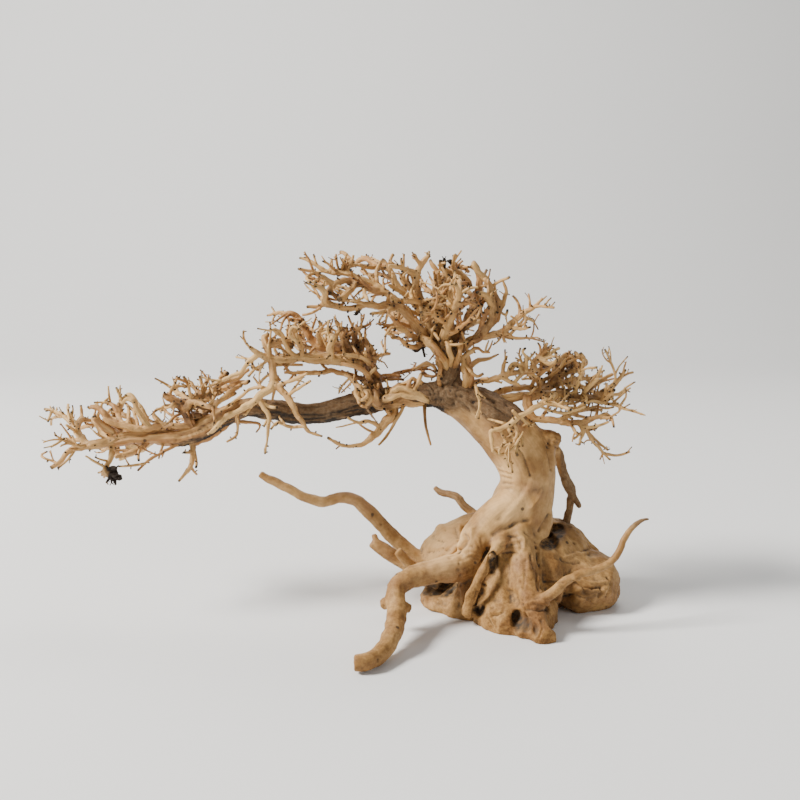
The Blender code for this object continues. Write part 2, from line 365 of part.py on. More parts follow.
# The pad to the right of the trunk's head.
RIGHT_PAD = {
    "right_light_limb": ("trunk", [
        (-16, [(-30, 134, 3), (-26, 140, 2.4), (-20, 142.6, 2.1), (-13, 143.2, 1.9), (0, 147.6, 1.8),
               (6.6, 148.5, 1.8), (15.5, 149.3, 2), (15.5, 153.5, 2), (18.2, 157.8, 2), (21, 161, 1.7),
               (24.4, 167.2, .9)]),
        (-4, [(-4, 146.3, 1.4), (-2.9, 153.4, 1.2), (-.7, 159.2, .8)]),
        (JOINS, [(0, 147.6, 1.4), (2.6, 153.5, 1.4), (6.2, 153.5, 1.3), (9, 149, 1.3)]),
        (-28, [(11.6, 149, 1.2), (10.8, 157.4, 1), (9, 161.4, .9), (10.8, 163.6, .7)]),
        (-30, [(18.5, 158.3, 2.1), (25.7, 154.3, 1.6), (31, 157, .9)]),
        (-8, [(-6, 145.7, 1.5), (2.4, 142.3, 1.3), (8, 140, .9)]),
        (-22, [(-21, 142.5, 1.8), (-19.5, 136, 1.5, -18), (-17.8, 129.4, 1.2, -20), (-18.2, 118.7, .8)]),
    ]),
    "right_main_limb": ("trunk", [
        (2, [(-12, 121, 4), (-4, 130.5, 3.2), (6.8, 133.4, 2.8), (17.8, 133.4, 2.7), (26.6, 134.7, 2.6),
             (37.6, 133.8, 2.5), (44, 132, 2.4), (53, 132, 2.3), (58.6, 135.3, 2.1), (63.8, 138.4, 2),
             (68.4, 142.6, 1.6), (74, 150, .9)]),
        (14, [(48, 132, 2), (52, 138, 1.7), (60.4, 144.2, 1.4), (65.6, 147.4, .9)]),
        (-12, [(46, 132, 1.8), (52, 141, 1.4), (57, 145, .9)]),
        (-4, [(66, 140.5, 1.2), (67.4, 147, .9), (60.2, 162.8, .6)]),
        (-16, [(42, 132.5, 1.5), (44.6, 143.7, 1.2), (47, 149.8, 1), (56, 151.8, .7)]),
        (-14, [(54, 132.4, 2), (61, 131.5, 1.7), (67, 137.4, 1)]),
        (-18, [(49, 132, 1.8), (62.3, 128.7, 1.3), (77, 124.7, 1), (87.6, 121, .7)]),
        (10, [(58, 135, 1.5), (68, 134, 1.2), (76, 138, .8)]),
    ]),
    "right_upper_limb": ("trunk", [
        (18, [(-14, 121, 3), (-9, 133.5, 2.5, 8), (0, 137.8, 2.3), (11.2, 138.8, 2.1), (20.9, 138.8, 2.2),
              (26.6, 141, 2.2), (30.1, 146, 2.2), (31.9, 152, 2.1), (34.5, 157.4, 2), (38, 159.4, 1.7),
              (41.5, 154, 1)]),
        (24, [(30.5, 146.5, 2), (39.8, 150.3, 1.8), (48.3, 154.5, 1.7), (44.2, 158, 1.5), (41.5, 161.5, .9)]),
        (28, [(22, 139.2, 1.7), (19, 147, 1.4), (22, 154, .9)]),
    ]),
    "right_front_limb": ("right_main_limb", [
        (-27, [(30, 134.5, 2.8), (28.8, 132, 2.4, -12), (22.2, 129, 2.3, -22), (15.6, 125, 2.2, -26),
               (9, 121, 2.1, -27), (2, 116, 1.8, -27), (-3, 113, 1.5), (-10, 111, 1.3), (-10, 105, 1.2),
               (-9, 97, .8)]),
        (-27, [(0, 114.5, 1.4), (5, 104, 1.1), (6, 96, .8)]),
        (-27, [(-4.5, 112.5, 1.2), (-1, 104, 1), (2, 94, .9), (4, 84, .7)]),
        (-34, [(7, 119.6, 1.3), (3.6, 124, .9)]),
        (-38, [(22, 129, 1.6), (30, 128, 1.3), (40, 124.5, .9)]),
    ]),
    "right_lower_limb": ("right_main_limb", [
        (-14, [(12, 133.4, 3.2), (13, 127, 3.2, -6), (14.7, 121.8, 2.8, -9), (18.5, 119.2, 2.4, -10),
               (31, 117.4, 2.2), (37.6, 116.2, 2.1), (48.3, 117, 2), (56, 119.4, 1.7), (64, 120, 1)]),
        (-22, [(46, 116.8, 2.1), (47.6, 111, 1.6), (45.8, 101.5, .9)]),
        (-8, [(49.6, 117.2, 1.8), (52.4, 107.8, 1.3), (59, 99.7, 1.1), (66.1, 92.2, .8)]),
        (-14, [(62, 96.5, 1), (69.7, 95, .9), (78.2, 97.8, .7)]),
        (-26, [(59, 119.6, 1.2), (65.6, 119, 1), (67.4, 113.5, .7)]),
        (-26, [(39, 116.3, 1.4), (43.9, 108.8, .8)]),
        (-2, [(33, 117.2, 1.8), (40, 122, 1.5), (50, 124.5, 1.1), (60, 124.5, .8)]),
    ]),
    "right_back_limb": ("right_main_limb", [
        (46, [(16, 133.4, 3), (24, 138, 2.5), (34, 142, 2.1), (46, 144, 1.7), (59, 146, 1)]),
        (42, [(30, 140.5, 1.8), (29, 150, 1.5), (34, 159, .9)]),
        (50, [(38, 142.8, 1.7), (50, 138, 1.4), (63, 132, .8)]),
        (40, [(25, 138.4, 1.7), (17, 145, 1.4), (9, 150, .9)]),
        (44, [(20, 135.6, 1.6), (30, 130, 1.3), (40, 124, .8)]),
    ]),
}


def main():
    for thing in list(bpy.data.objects):
        bpy.data.objects.remove(thing, do_unlink=True)
    wood = bpy.data.collections.new("driftwood_bonsai")
    bpy.context.scene.collection.children.link(wood)
    tan = wood_material("smooth_tan_wood", WOOD_TAN, 0.62)
    orange = wood_material("orange_twig_wood", WOOD_ORANGE, 0.58)
    grey = wood_material("grey_bark_wood", WOOD_GREY, 0.75)

    trunk = make_trunk(wood, tan)
    grown = {"trunk": TRUNK_STEMS}
    built = [("trunk", trunk)]
    for name, stems in ROOTS.items():
        grown[name] = stems
        built.append((name, make_limb(name, stems, built, grown, wood, tan)))
    finishes = ((BOUGH, grey), (MIDDLE_PAD, orange), (CROWN, orange), (RIGHT_PAD, orange))
    for pad, finish in finishes:
        for name, (parent, plan) in pad.items():
            grown[name] = grow_stems(plan, grown[parent])
            built.append((name, make_limb(name, grown[name], built, grown, wood, finish)))


def wood_material(name, colour, roughness):
    material = bpy.data.materials.new(name)
    material.use_nodes = True
    shader = material.node_tree.nodes["Principled BSDF"]
    shader.inputs["Base Color"].default_value = colour
    shader.inputs["Roughness"].default_value = roughness
    shader.inputs["Metallic"].default_value = 0.0
    material.diffuse_color = colour
    return material


def seen_at(across, up, back):
    """The real place, in millimetres, of what is seen at across and up, that far back."""
    on_plane = Vector((across, 0.0, up))
    return EYE + (on_plane - EYE) * scale_at(back)


def scale_at(back):
    """How much larger a thing is than it looks against the upright plane."""
    return 1.0 - back / EYE.y


def grow_stems(plan, parent_stems):
    """Give every planned stem its depth; each starts on the nearest wood that is there before it."""
    stems = []
    for tip_back, points in plan:
        older = stems if stems else parent_stems
        start = nearest_on(older, points[0])
        route = [list(start[:3]) + [points[0][2]]]
        for point in points[1:]:
            own_back = point[3] if len(point) > 3 else None
            route.append([point[0], point[1], own_back, point[2]])
        if tip_back is JOINS:
            end = nearest_on(older, points[-1])
            route[-1][:3] = end[:3]
        elif route[-1][2] is None:
            route[-1][2] = tip_back
        fill_depths(route)
        stems.append([tuple(point) for point in route])
    return stems


def nearest_on(stems, point):
    """The point of the stems' centre lines that is seen nearest to a planned one."""
    target = Vector(point[:2])
    best_distance = None
    best_spot = None
    for stem in stems:
        for start, end in zip(stem, stem[1:]):
            along = Vector(end[:2]) - Vector(start[:2])
            share = (target - Vector(start[:2])).dot(along) / max(along.length_squared, 0.01)
            share = min(max(share, 0.0), 1.0)
            spot = [a + (b - a) * share for a, b in zip(start, end)]
            distance = (Vector(spot[:2]) - target).length
            if best_distance is None or distance < best_distance:
                best_distance = distance
                best_spot = spot
    return best_spot


def fill_depths(route):
    """Let the depth run evenly between the points of a route that have one."""
    known = [index for index, point in enumerate(route) if point[2] is not None]
    for first, last in zip(known, known[1:]):
        spans = [(Vector(route[i + 1][:2]) - Vector(route[i][:2])).length for i in range(first, last)]
        gone = 0.0
        for index in range(first + 1, last):
            gone += spans[index - 1 - first]
            share = gone / sum(spans)
            route[index][2] = route[first][2] + (route[last][2] - route[first][2]) * share


def tube(stem, extra=0.0, sides=None):
    """A closed tube along a stem, thicker and longer by extra at every place."""
    if sides is None:
        sides = 4 if max(point[3] for point in stem) <= FINE_RADIUS else 6
    places = [seen_at(across, up, back) for across, up, back, _ in stem]
    radii = [radius * scale_at(back) for _, _, back, radius in stem]
    places[0] = places[0] - (places[1] - places[0]).normalized() * extra
    places[-1] = places[-1] + (places[-1] - places[-2]).normalized() * extra
    return tube_through(places, [radius + extra for radius in radii], sides)


def tube_through(places, radii, sides):
    """A closed mesh tube through real places; the curve it comes from isn't kept."""
    curve = bpy.data.curves.new("tube", "CURVE")
    curve.dimensions = "3D"
    curve.bevel_depth = MM
    curve.bevel_resolution = (sides - 4) // 2
    curve.use_fill_caps = True
    spline = curve.splines.new("POLY")
    spline.points.add(len(places) - 1)
    for point, place, radius in zip(spline.points, places, radii):
        point.co = (*(place * MM), 1.0)
        point.radius = radius
    maker = bpy.data.objects.new("tube", curve)
    bpy.context.scene.collection.objects.link(maker)
    mesh = evaluated_mesh(maker)
    bpy.data.objects.remove(maker, do_unlink=True)
    weld(mesh)
    return mesh


def evaluated_mesh(thing):
    graph = bpy.context.evaluated_depsgraph_get()
    graph.update()
    return bpy.data.meshes.new_from_object(thing.evaluated_get(graph))


def weld(mesh):
    work = bmesh.new()
    work.from_mesh(mesh)
    bmesh.ops.remove_doubles(work, verts=work.verts[:], dist=TWIG_WELD * MM)
    work.to_mesh(mesh)
    work.free()


def combine(mesh, other, operation):
    """The union, difference or intersection of two closed meshes."""
    body = bpy.data.objects.new("body", mesh)
    cutter = bpy.data.objects.new("cutter", other)
    for thing in (body, cutter):
        bpy.context.scene.collection.objects.link(thing)
    modifier = body.modifiers.new("combine", "BOOLEAN")
    modifier.operation = operation
    modifier.solver = "EXACT"
    modifier.use_self = operation == "UNION"
    modifier.object = cutter
    result = evaluated_mesh(body)
    for thing in (body, cutter):
        bpy.data.objects.remove(thing, do_unlink=True)
    return result


def finished_node(name, mesh, collection, material):
    mesh.name = name
    mesh.materials.clear()
    mesh.materials.append(material)
    mesh.shade_smooth()
    node = bpy.data.objects.new(name, mesh)
    collection.objects.link(node)
    return node


def make_limb(name, stems, built, grown, collection, material):
    """One limb: its stems fused, then cut back a hair from every solid made before it."""
    mesh = tube(stems[0])
    for stem in stems[1:]:
        mesh = combine(mesh, tube(stem), "UNION")
    mesh = thinned(mesh, LIMB_SHARE)
    for other_name, other in built:
        if not boxes_meet(mesh_box(mesh), mesh_box(other.data)):
            continue
        if other_name == "trunk":
            mesh = combine(mesh, swollen(other.data), "DIFFERENCE")
            continue
        for stem in grown[other_name]:
            cutter = tube(stem, extra=FORK_GAP)
            if boxes_meet(mesh_box(mesh), mesh_box(cutter)):
                mesh = combine(mesh, cutter, "DIFFERENCE")
    keep_largest_body(mesh)
    return finished_node(name, mesh, collection, material)


def mesh_box(mesh):
    corners = [vertex.co for vertex in mesh.vertices]
    low = [min(corner[axis] for corner in corners) for axis in range(3)]
    high = [max(corner[axis] for corner in corners) for axis in range(3)]
    return low, high


def boxes_meet(one, two):
    slack = 2 * FORK_GAP * MM
    return all(one[0][axis] <= two[1][axis] + slack and two[0][axis] <= one[1][axis] + slack
               for axis in range(3))


def swollen(mesh):
    """A copy of a smooth solid whose skin stands out by the fork gap."""
    copy = mesh.copy()
    for vertex in copy.vertices:
        vertex.co += vertex.normal * FORK_GAP * MM
    return copy


def keep_largest_body(mesh):
    """Delete what a cut left loose: a tip beyond a crossing, or an end inside another limb."""
    work = bmesh.new()
    work.from_mesh(mesh)
    bmesh.ops.remove_doubles(work, verts=work.verts[:], dist=CUT_WELD * MM)
    unseen = set(work.verts)
    bodies = []
    while unseen:
        body = {unseen.pop()}
        edge_of_body = list(body)
        while edge_of_body:
            vertex = edge_of_body.pop()
            for edge in vertex.link_edges:
                neighbour = edge.other_vert(vertex)
                if neighbour in unseen:
                    unseen.remove(neighbour)
                    body.add(neighbour)
                    edge_of_body.append(neighbour)
        bodies.append(body)
    largest = max(bodies, key=spread)
    loose = [vertex for vertex in work.verts if vertex not in largest]
    bmesh.ops.delete(work, geom=loose, context="VERTS")
    bmesh.ops.triangulate(work, faces=work.faces[:])
    work.to_mesh(mesh)
    work.free()


def spread(body):
    """How far a body's points reach, along its longest side."""
    return max(max(vertex.co[axis] for vertex in body) - min(vertex.co[axis] for vertex in body)
               for axis in range(3))


def make_trunk(collection, material):
    """The trunk and its burl, fused to one skin, rippled, hollowed and sawn flat underneath."""
    pieces = [tube(stem, sides=12) for stem in TRUNK_STEMS]
    for flare in ROOT_FLARES:
        places = [Vector(point[:3]) for point in flare]
        pieces.append(tube_through(places, [point[3] for point in flare], 12))
    pieces.extend(lump(centre, half_sizes) for centre, half_sizes in BURL_LUMPS)
    mesh = fused_skin(pieces)
    for centre, half_sizes in BURL_HOLLOWS:
        mesh = combine(mesh, lump(centre, half_sizes), "DIFFERENCE")
    mesh = remeshed(mesh)
    triangles = sum(len(face.vertices) - 2 for face in mesh.polygons)
    mesh = thinned(mesh, TRUNK_FACES / triangles)
    mesh = combine(mesh, ground_block(), "DIFFERENCE")
    keep_largest_body(mesh)
    return finished_node("trunk", mesh, collection, material)


def lump(centre, half_sizes):
    """An ellipsoid at a real place."""
    mesh = bpy.data.meshes.new("lump")
    work = bmesh.new()
    bmesh.ops.create_uvsphere(work, u_segments=16, v_segments=10, radius=MM)
    bmesh.ops.scale(work, vec=half_sizes, verts=work.verts[:])
    bmesh.ops.translate(work, vec=Vector(centre) * MM, verts=work.verts[:])
    work.to_mesh(mesh)
    work.free()
    return mesh


def ground_block():
    """Everything below the saw cut."""
    mesh = bpy.data.meshes.new("ground")
    work = bmesh.new()
    bmesh.ops.create_cube(work, size=1.0)
    bmesh.ops.translate(work, vec=(0, 0, -0.5), verts=work.verts[:])
    work.to_mesh(mesh)
    work.free()
    return mesh


def fused_skin(pieces):
    """One closed skin around all the pieces, with the ripples of weathered wood."""
    work = bmesh.new()
    for piece in pieces:
        work.from_mesh(piece)
    mesh = bpy.data.meshes.new("trunk")
    work.to_mesh(mesh)
    work.free()
    mesh = remeshed(mesh)
    for vertex in mesh.vertices:
        place = vertex.co / (RIPPLE_LENGTH * MM)
        height = noise.noise(place) + 0.5 * noise.noise(place * 2)
        vertex.co += vertex.normal * height * RIPPLE_HEIGHT * MM
    return mesh


def remeshed(mesh):
    """The mesh's outer skin at the trunk's own voxel size, with its steps smoothed."""
    holder = bpy.data.objects.new("holder", mesh)
    bpy.context.scene.collection.objects.link(holder)
    remesh = holder.modifiers.new("fuse", "REMESH")
    remesh.mode = "VOXEL"
    remesh.voxel_size = TRUNK_VOXEL * MM
    soften = holder.modifiers.new("soften", "SMOOTH")
    soften.factor = 0.5
    soften.iterations = 3
    result = evaluated_mesh(holder)
    bpy.data.objects.remove(holder, do_unlink=True)
    return result


def thinned(mesh, share):
    """The same skin with a share of its faces, for a light solid."""
    holder = bpy.data.objects.new("holder", mesh)
    bpy.context.scene.collection.objects.link(holder)
    thin = holder.modifiers.new("thin", "DECIMATE")
    thin.ratio = min(1.0, share)
    result = evaluated_mesh(holder)
    bpy.data.objects.remove(holder, do_unlink=True)
    return result


main()
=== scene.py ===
"""Driftwood shaped like a bonsai tree: the look of its wood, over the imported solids.

The trunk, the burl, the roots and the thick bough are one fused skin, as they grew. Each limb of
the twig pads is one piece: its thick stems fused, its thin ones as tapered tubes, and fine
twiglets that sprout from them and stay within the space of the limb's own solid.
Lengths in the plan are millimetres; a limb's point says where it is seen against the upright
plane through the trunk's foot (across, up), and the wood's radius there.
"""

import math
import random

import bmesh
import bpy
import numpy as np
from mathutils import Matrix, Vector, kdtree, noise


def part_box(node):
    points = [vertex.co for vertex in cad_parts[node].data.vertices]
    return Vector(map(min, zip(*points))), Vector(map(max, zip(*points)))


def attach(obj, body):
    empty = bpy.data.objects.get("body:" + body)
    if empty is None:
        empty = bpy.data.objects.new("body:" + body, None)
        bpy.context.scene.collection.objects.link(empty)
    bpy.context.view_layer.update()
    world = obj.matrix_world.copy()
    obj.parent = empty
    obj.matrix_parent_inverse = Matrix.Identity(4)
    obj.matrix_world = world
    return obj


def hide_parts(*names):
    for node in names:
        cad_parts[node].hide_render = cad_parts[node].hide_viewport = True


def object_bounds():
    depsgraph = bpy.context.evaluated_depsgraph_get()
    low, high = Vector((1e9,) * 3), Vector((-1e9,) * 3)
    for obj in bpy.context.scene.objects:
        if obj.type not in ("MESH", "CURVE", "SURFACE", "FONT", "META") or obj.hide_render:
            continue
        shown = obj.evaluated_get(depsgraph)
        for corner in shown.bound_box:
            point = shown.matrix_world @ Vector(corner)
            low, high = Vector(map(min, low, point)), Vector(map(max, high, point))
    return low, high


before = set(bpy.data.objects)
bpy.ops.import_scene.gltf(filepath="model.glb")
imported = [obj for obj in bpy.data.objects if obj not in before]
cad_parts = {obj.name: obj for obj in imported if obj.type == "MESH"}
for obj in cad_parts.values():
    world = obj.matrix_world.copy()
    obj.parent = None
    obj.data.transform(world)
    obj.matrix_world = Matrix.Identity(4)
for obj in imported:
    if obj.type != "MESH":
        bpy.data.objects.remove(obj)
cad_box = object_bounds()

MM = 0.001

# Where the plan's across and up are seen from.
EYE = Vector((-68.0, -563.0, 205.0))

# A stem whose tip has no depth of its own grows back onto the wood.
JOINS = None

# The trunk, the dead stump on its shoulder, the crown's stub and the strut down the burl's
# front: across, up, back, radius.
TRUNK_STEMS = [
    [(10, 4, 0, 27), (9, 34, 0, 24), (9, 58, -2, 21), (13.5, 77, -3, 17.5), (11.5, 92, -3, 18.8),
     (1, 108, -2, 18.4), (-14, 121, 0, 16), (-28, 130, 2, 13), (-43, 135.5, 3, 10)],
    [(10, 98, -3, 13), (21, 103, -3, 10), (31, 105, -3, 6)],
    [(20, 103, -4, 8), (28, 109.5, -4, 3.6)],
    [(28, 104, -4, 5), (35, 107.5, -5, 1.8)],
    [(-34, 132, 3, 10), (-37, 142, 4, 7.6)],
    [(0, 46, -24, 4.2), (-6, 34, -36, 4.2), (-13, 22, -43, 4), (-19, 9, -46, 4), (-23, -4, -45, 4.2),
     (-25, -11, -42, 5)],
]

# Flares that run from the trunk down over the burl: real places, with the radius.
ROOT_FLARES = [
    [(4, -16, 54, 9), (7, -34, 32, 10), (9, -54, 14, 8), (12, -66, 4, 6)],
    [(7, -10, 68, 12), (-7, -14, 58, 12.5), (-18, -20, 48, 11.5), (-24, -24, 37, 10.5)],
    [(-2, -14, 46, 9), (-4, -28, 26, 11), (-5, -42, 10, 11)],
    [(16, -12, 46, 9), (22, -24, 26, 11), (23, -31, 9, 9)],
    [(-6, -10, 50, 8), (-16, -22, 30, 9), (-30, -30, 8, 7)],
    [(-10, 8, 50, 9), (-30, 14, 40, 10), (-44, 14, 30, 9), (-51, 12, 10, 8)],
    [(22, -6, 42, 10), (40, -10, 26, 11), (58, -6, 13, 10)],
    [(22, 12, 44, 10), (42, 26, 34, 11), (60, 22, 18, 9)],
    [(8, 18, 46, 11), (12, 40, 28, 11), (14, 54, 10, 9)],
    [(-6, 14, 48, 9), (-22, 36, 28, 10), (-34, 46, 10, 8)],
]

# Rounded masses of the burl: real centre and half sizes.
BURL_LUMPS = [
    ((6, 2, 16), (40, 38, 26)),
    ((34, 6, 21), (24, 30, 28)),
    ((50, -4, 14), (24, 30, 20)),
    ((-32, 12, 19), (23, 24, 26)),
    ((-36, 14, 36), (9, 10, 11)),
    ((-41, 13, 40), (4.5, 7, 7.5)),
    ((2, 32, 10), (38, 24, 20)),
    ((2, -35, 4), (26, 26, 18)),
    ((7, -55, 5), (10, 13, 12)),
    ((12, -66, 3), (7, 7, 9)),
    ((17, -68, 2), (6, 5, 6)),
    ((-24, -18, 2), (20, 19, 14)),
    ((-38, -6, 3), (18, 22, 7)),
]

# Roots: across, up, back, radius.
ROOTS = {
    "root_front_left": [
        [(-4, 30, -12, 12), (-20, 25, -23, 11), (-34, 21, -32, 9.3), (-50, 18, -39, 7.8),
         (-64, 13, -45, 6.8), (-71, 7, -51, 6.6), (-70.5, -3, -60, 6.4), (-70.5, -12, -69, 6.6),
         (-73, -24, -84, 6.6), (-80, -36, -97.5, 6.2), (-89, -42, -108, 5.8), (-98, -43, -110, 5.6)],
        [(-69, -3, -60, 4), (-61, -6, -58, 3)],
        [(-72, -1, -58, 4.5), (-79, -3, -52, 4)],
    ],
    "root_far_left": [
        [(-40, 20, 6, 6.5), (-55, 27, 8, 5.6), (-66, 36, 10, 5), (-79, 49, 12, 4.5), (-88, 59, 14, 4.5),
         (-97, 66.5, 15, 4), (-106, 68, 17, 3.8), (-119, 65, 19, 3.5), (-132, 70, 21, 3.2),
         (-145, 77, 23, 3), (-157.5, 83.5, 25, 2.4)],
    ],
    "root_stub_left": [
        [(-42, 12, -10, 6), (-58, 21, -12, 5.2), (-72, 29, -12, 4.8), (-80, 34.5, -12, 4.5),
         (-86.5, 39, -12, 4)],
        [(-82, 36, -12, 2.6), (-85, 44, -10, 1.8)],
        [(-56, 20, -13, 4), (-63, 25, -20, 3.6), (-70, 33, -22, 3)],
    ],
    "root_back": [
        [(0, 44, 8, 4.5), (-15, 52, 24, 3.4), (-20, 57, 30, 3), (-27, 63, 34, 2.9), (-33, 69, 38, 2.6),
         (-42, 71, 42, 2.2), (-46, 75, 44, 1.5)],
    ],
    "root_right_front": [
        [(10, -6, -44, 6), (16, -4, -54, 4.8), (24, -1, -57, 4.1), (33, 6, -57, 3.6), (40, 13, -56, 3.2),
         (50, 18, -54, 2.9), (60, 20.5, -52, 2.7), (67, 25, -50, 2.5), (73, 32, -48, 2.4),
         (77, 42, -46, 2.2), (83, 50, -44, 1.9), (87, 53, -43, 1.5), (91.5, 54, -42, 1.1)],
    ],
    "root_hanging_right": [
        [(26, 100, 4, 4), (32.5, 97, 9, 3.6), (34, 90, 10, 3.5), (37.5, 82, 12, 3.3), (42, 73, 14, 3),
         (41, 66, 15, 2.8), (40, 60, 16, 2.6), (38, 46, 18, 2.6)],
        [(37, 82, 11, 2.6), (38, 76, 10, 2.5), (43.5, 68, 8, 2.4), (48, 61, 6, 1.7)],
    ],
}

# The bough that sweeps low to the left, with the small twigs that grow straight from it.
BOUGH = {
    "bough_left": ("trunk", [
        (-20, (-34, 134, 9), (-48, 135, 8), (-60, 134.5, 7.5), (-80, 131, 7.5), (-100, 127, 7.5),
              (-120, 122.5, 7), (-135, 122, 7), (-150, 125, 6.5), (-165, 126, 6), (-180, 120, 6),
              (-192, 113, 6), (-203, 108, 6), (-215, 107, 5.5), (-230, 107, 5), (-250, 105, 4.3)),
        (-8, (-182, 121, 3), (-195, 119, 2.6), (-204, 114.5, 2.5), (-220, 112.5, 2.4), (-243, 114, 1.8)),
        (-26, (-246, 106, 2.8), (-255, 113, 2.4), (-262, 119, 1.8)),
        (-9, (-48, 130, 2), (-55, 131, 4), (-66, 131, 4.6), (-76, 129, 4), (-84, 128, 2.4)),
        (4, (-64, 132, 3), (-70, 141, 2)),
        (-2, (-56, 133, 3), (-55, 143, 1.8)),
        (-16, (-64, 129, 1.3), (-70, 119, 1), (-77, 107, .9), (-81.5, 102, .7)),
        (-18, (-51, 131, 1.4), (-52.5, 121, 1), (-51, 111, .9), (-48.5, 102, .7)),
        (-20, (-94, 130, 1.8), (-89, 125, 1.3), (-81.5, 115.5, .8)),
        (-26, (-219, 107, 1.3), (-218.5, 103, 1), (-221.5, 93, .6)),
    ]),
    "bough_tip_low": ("bough_left", [
        (-36, (-246, 104.5, 3.8), (-262, 102, 3), (-270, 101, 2.6), (-277, 98.5, 2), (-281, 95, 1.8),
              (-284, 91, 1.6), (-291, 87.5, 1.4)),
        (-30, (-286, 90, 1), (-296, 95, .8), (-292, 98, .6)),
        (-44, (-268, 101.5, 1.5), (-277, 103, 1.2), (-287, 108.5, .8)),
        (-50, (-282, 105.5, 1), (-289, 101, .7)),
        (-16, (-262, 102.5, 1.8), (-272, 105, 1.4), (-282, 106, .8)),
    ]),
    "bough_tip_up": ("bough_tip_low", [
        (-6, (-266, 102, 2.7), (-272, 109, 2.5), (-276, 116, 1.8), (-283, 122.5, 1.2), (-293, 125.5, .9)),
        (4, (-281, 120.5, 1.1), (-288, 119, .9), (-289, 115, .7)),
        (-16, (-288, 124, 1), (-291, 117, .7)),
        (-18, (-276, 116, 1.1), (-275.5, 123.5, .8)),
        (4, (-274, 112, 1.8), (-269.5, 118, 2), (-260, 116.5, .9)),
        (-28, (-272, 110, 1.2), (-279, 115, .9)),
    ]),
    "bough_tip_drop": ("bough_left", [
        (-34, (-249, 104.5, 2.4), (-252, 95, 1.9), (-255, 88, 1.8), (-255, 84, 2), (-250.5, 82, 3.4),
              (-247, 81, 2.2)),
        (-32, (-251, 83, 1.8), (-249.5, 76, .6)),
        (-36, (-252, 82.5, 1.8), (-256, 77.5, .6)),
        (-38, (-255, 87, 1), (-263, 92, .8), (-268, 95, .6)),
    ]),
    "bough_tip_top": ("bough_left", [
        (6, (-222, 108, 3), (-240, 114.5, 2.2), (-250, 118, 2), (-255, 123, 1.6), (-260, 127.5, 1.3),
            (-265, 125.5, .9)),
        (0, (-236, 113, 2.2), (-239, 119, 2), (-244, 122, 1.9), (-251, 129, 1.2)),
        (10, (-244, 122, 1.3), (-245, 129, 1), (-244.5, 138, .7)),
        (JOINS, (-245.5, 124, 1.9), (-242, 131, 1.8), (-238, 133.2, 1.8), (-233, 127, 1.8),
                (-224, 110, 1.9)),
    ]),
    "bough_tip_back": ("bough_left", [
        (22, (-234, 107, 2.8), (-246, 111, 2.2), (-258, 115, 1.7), (-271, 113, 1)),
        (30, (-248, 111.5, 1.6), (-254, 121, 1)),
        (14, (-240, 109, 1.8), (-247, 102, 1.3), (-258, 99, .9)),
    ]),
    "twig_under_tip": ("bough_left", [
        (-30, (-228, 107, 2.4), (-232, 100, 1.9), (-243, 96, 1.8), (-249.5, 94, 1.5)),
        (-33, (-233.5, 99.5, 1.2), (-234.5, 92, .8)),
    ]),
    "twig_under": ("bough_left", [
        (-34, (-205, 108, 1.9), (-209, 103, 1.4), (-220, 97, 1.1), (-229, 91, 1), (-235.5, 85.5, .8)),
        (-38, (-230, 90.2, .9), (-240, 88.5, .8), (-247.5, 88, .6)),
    ]),
    "twig_drop": ("bough_left", [
        (-22, (-199, 109.5, 2.6), (-200, 98, 1.9), (-200.3, 92.5, 1.7), (-204, 85, 1.5), (-209.3, 78, .8)),
        (-27, (-200, 97.5, 1.2), (-205.5, 97.3, .8)),
    ]),
    "knot_limb": ("bough_left", [
        (-20, (-199, 110, 4.5), (-202, 119, 4.2), (-204, 124, 3.8), (-209, 129.5, 3), (-217, 134, 1.6)),
        (-28, (-204, 124.5, 2.4), (-200, 130, 2), (-193, 128.5, 1.8), (-186, 126, 1.4)),
        (-10, (-212, 131.5, 1.5), (-213, 136, 1.3), (-209, 139.5, 1.3), (-202, 139, .9)),
        (-30, (-200, 129.5, 1.5), (-200, 137, 1.2), (-204, 146, .9)),
        (-38, (-202.3, 142.5, 1), (-208.5, 144.5, .8)),
        (-4, (-203, 123, 2.6), (-198, 132.5, 2.2), (-191, 133.5, 2), (-186, 137, 1.9), (-181, 140.5, 1.3)),
        (-14, (-193, 133.5, 1.2), (-192.5, 139, 1), (-194, 146.5, .7)),
        (6, (-183, 139, 1.3), (-180, 147.5, .8)),
        (-30, (-207, 127, 1.6), (-216, 127, 1.2), (-223, 124, .8)),
    ]),
    "knot_limb_back": ("bough_left", [
        (26, (-188, 116, 3), (-194, 124, 2.5), (-202, 132, 2), (-212, 138, 1.1)),
        (32, (-194, 125, 1.8), (-188, 134, 1.5), (-180, 142, .9)),
        (28, (-200, 130, 1.6), (-210, 128, 1.2), (-220, 124, .8)),
        (16, (-191, 120, 1.6), (-198, 118, 1.3), (-208, 119, .8)),
    ]),
    "loop_limb": ("bough_left", [
        (-20, (-70, 132, 3.6), (-73, 121.5, 3.4), (-77, 117, 3.2), (-82, 111, 2.6), (-88, 105, 2.1),
              (-93, 101.8, 1.5), (-101, 101.2, 1.2), (-108, 103.5, 1.1), (-114, 107, .9)),
        (-22, (-80, 113.5, 1.5), (-88, 117, 1.3), (-95, 116, 1.1), (-101, 119.5, .8)),
    ]),
}

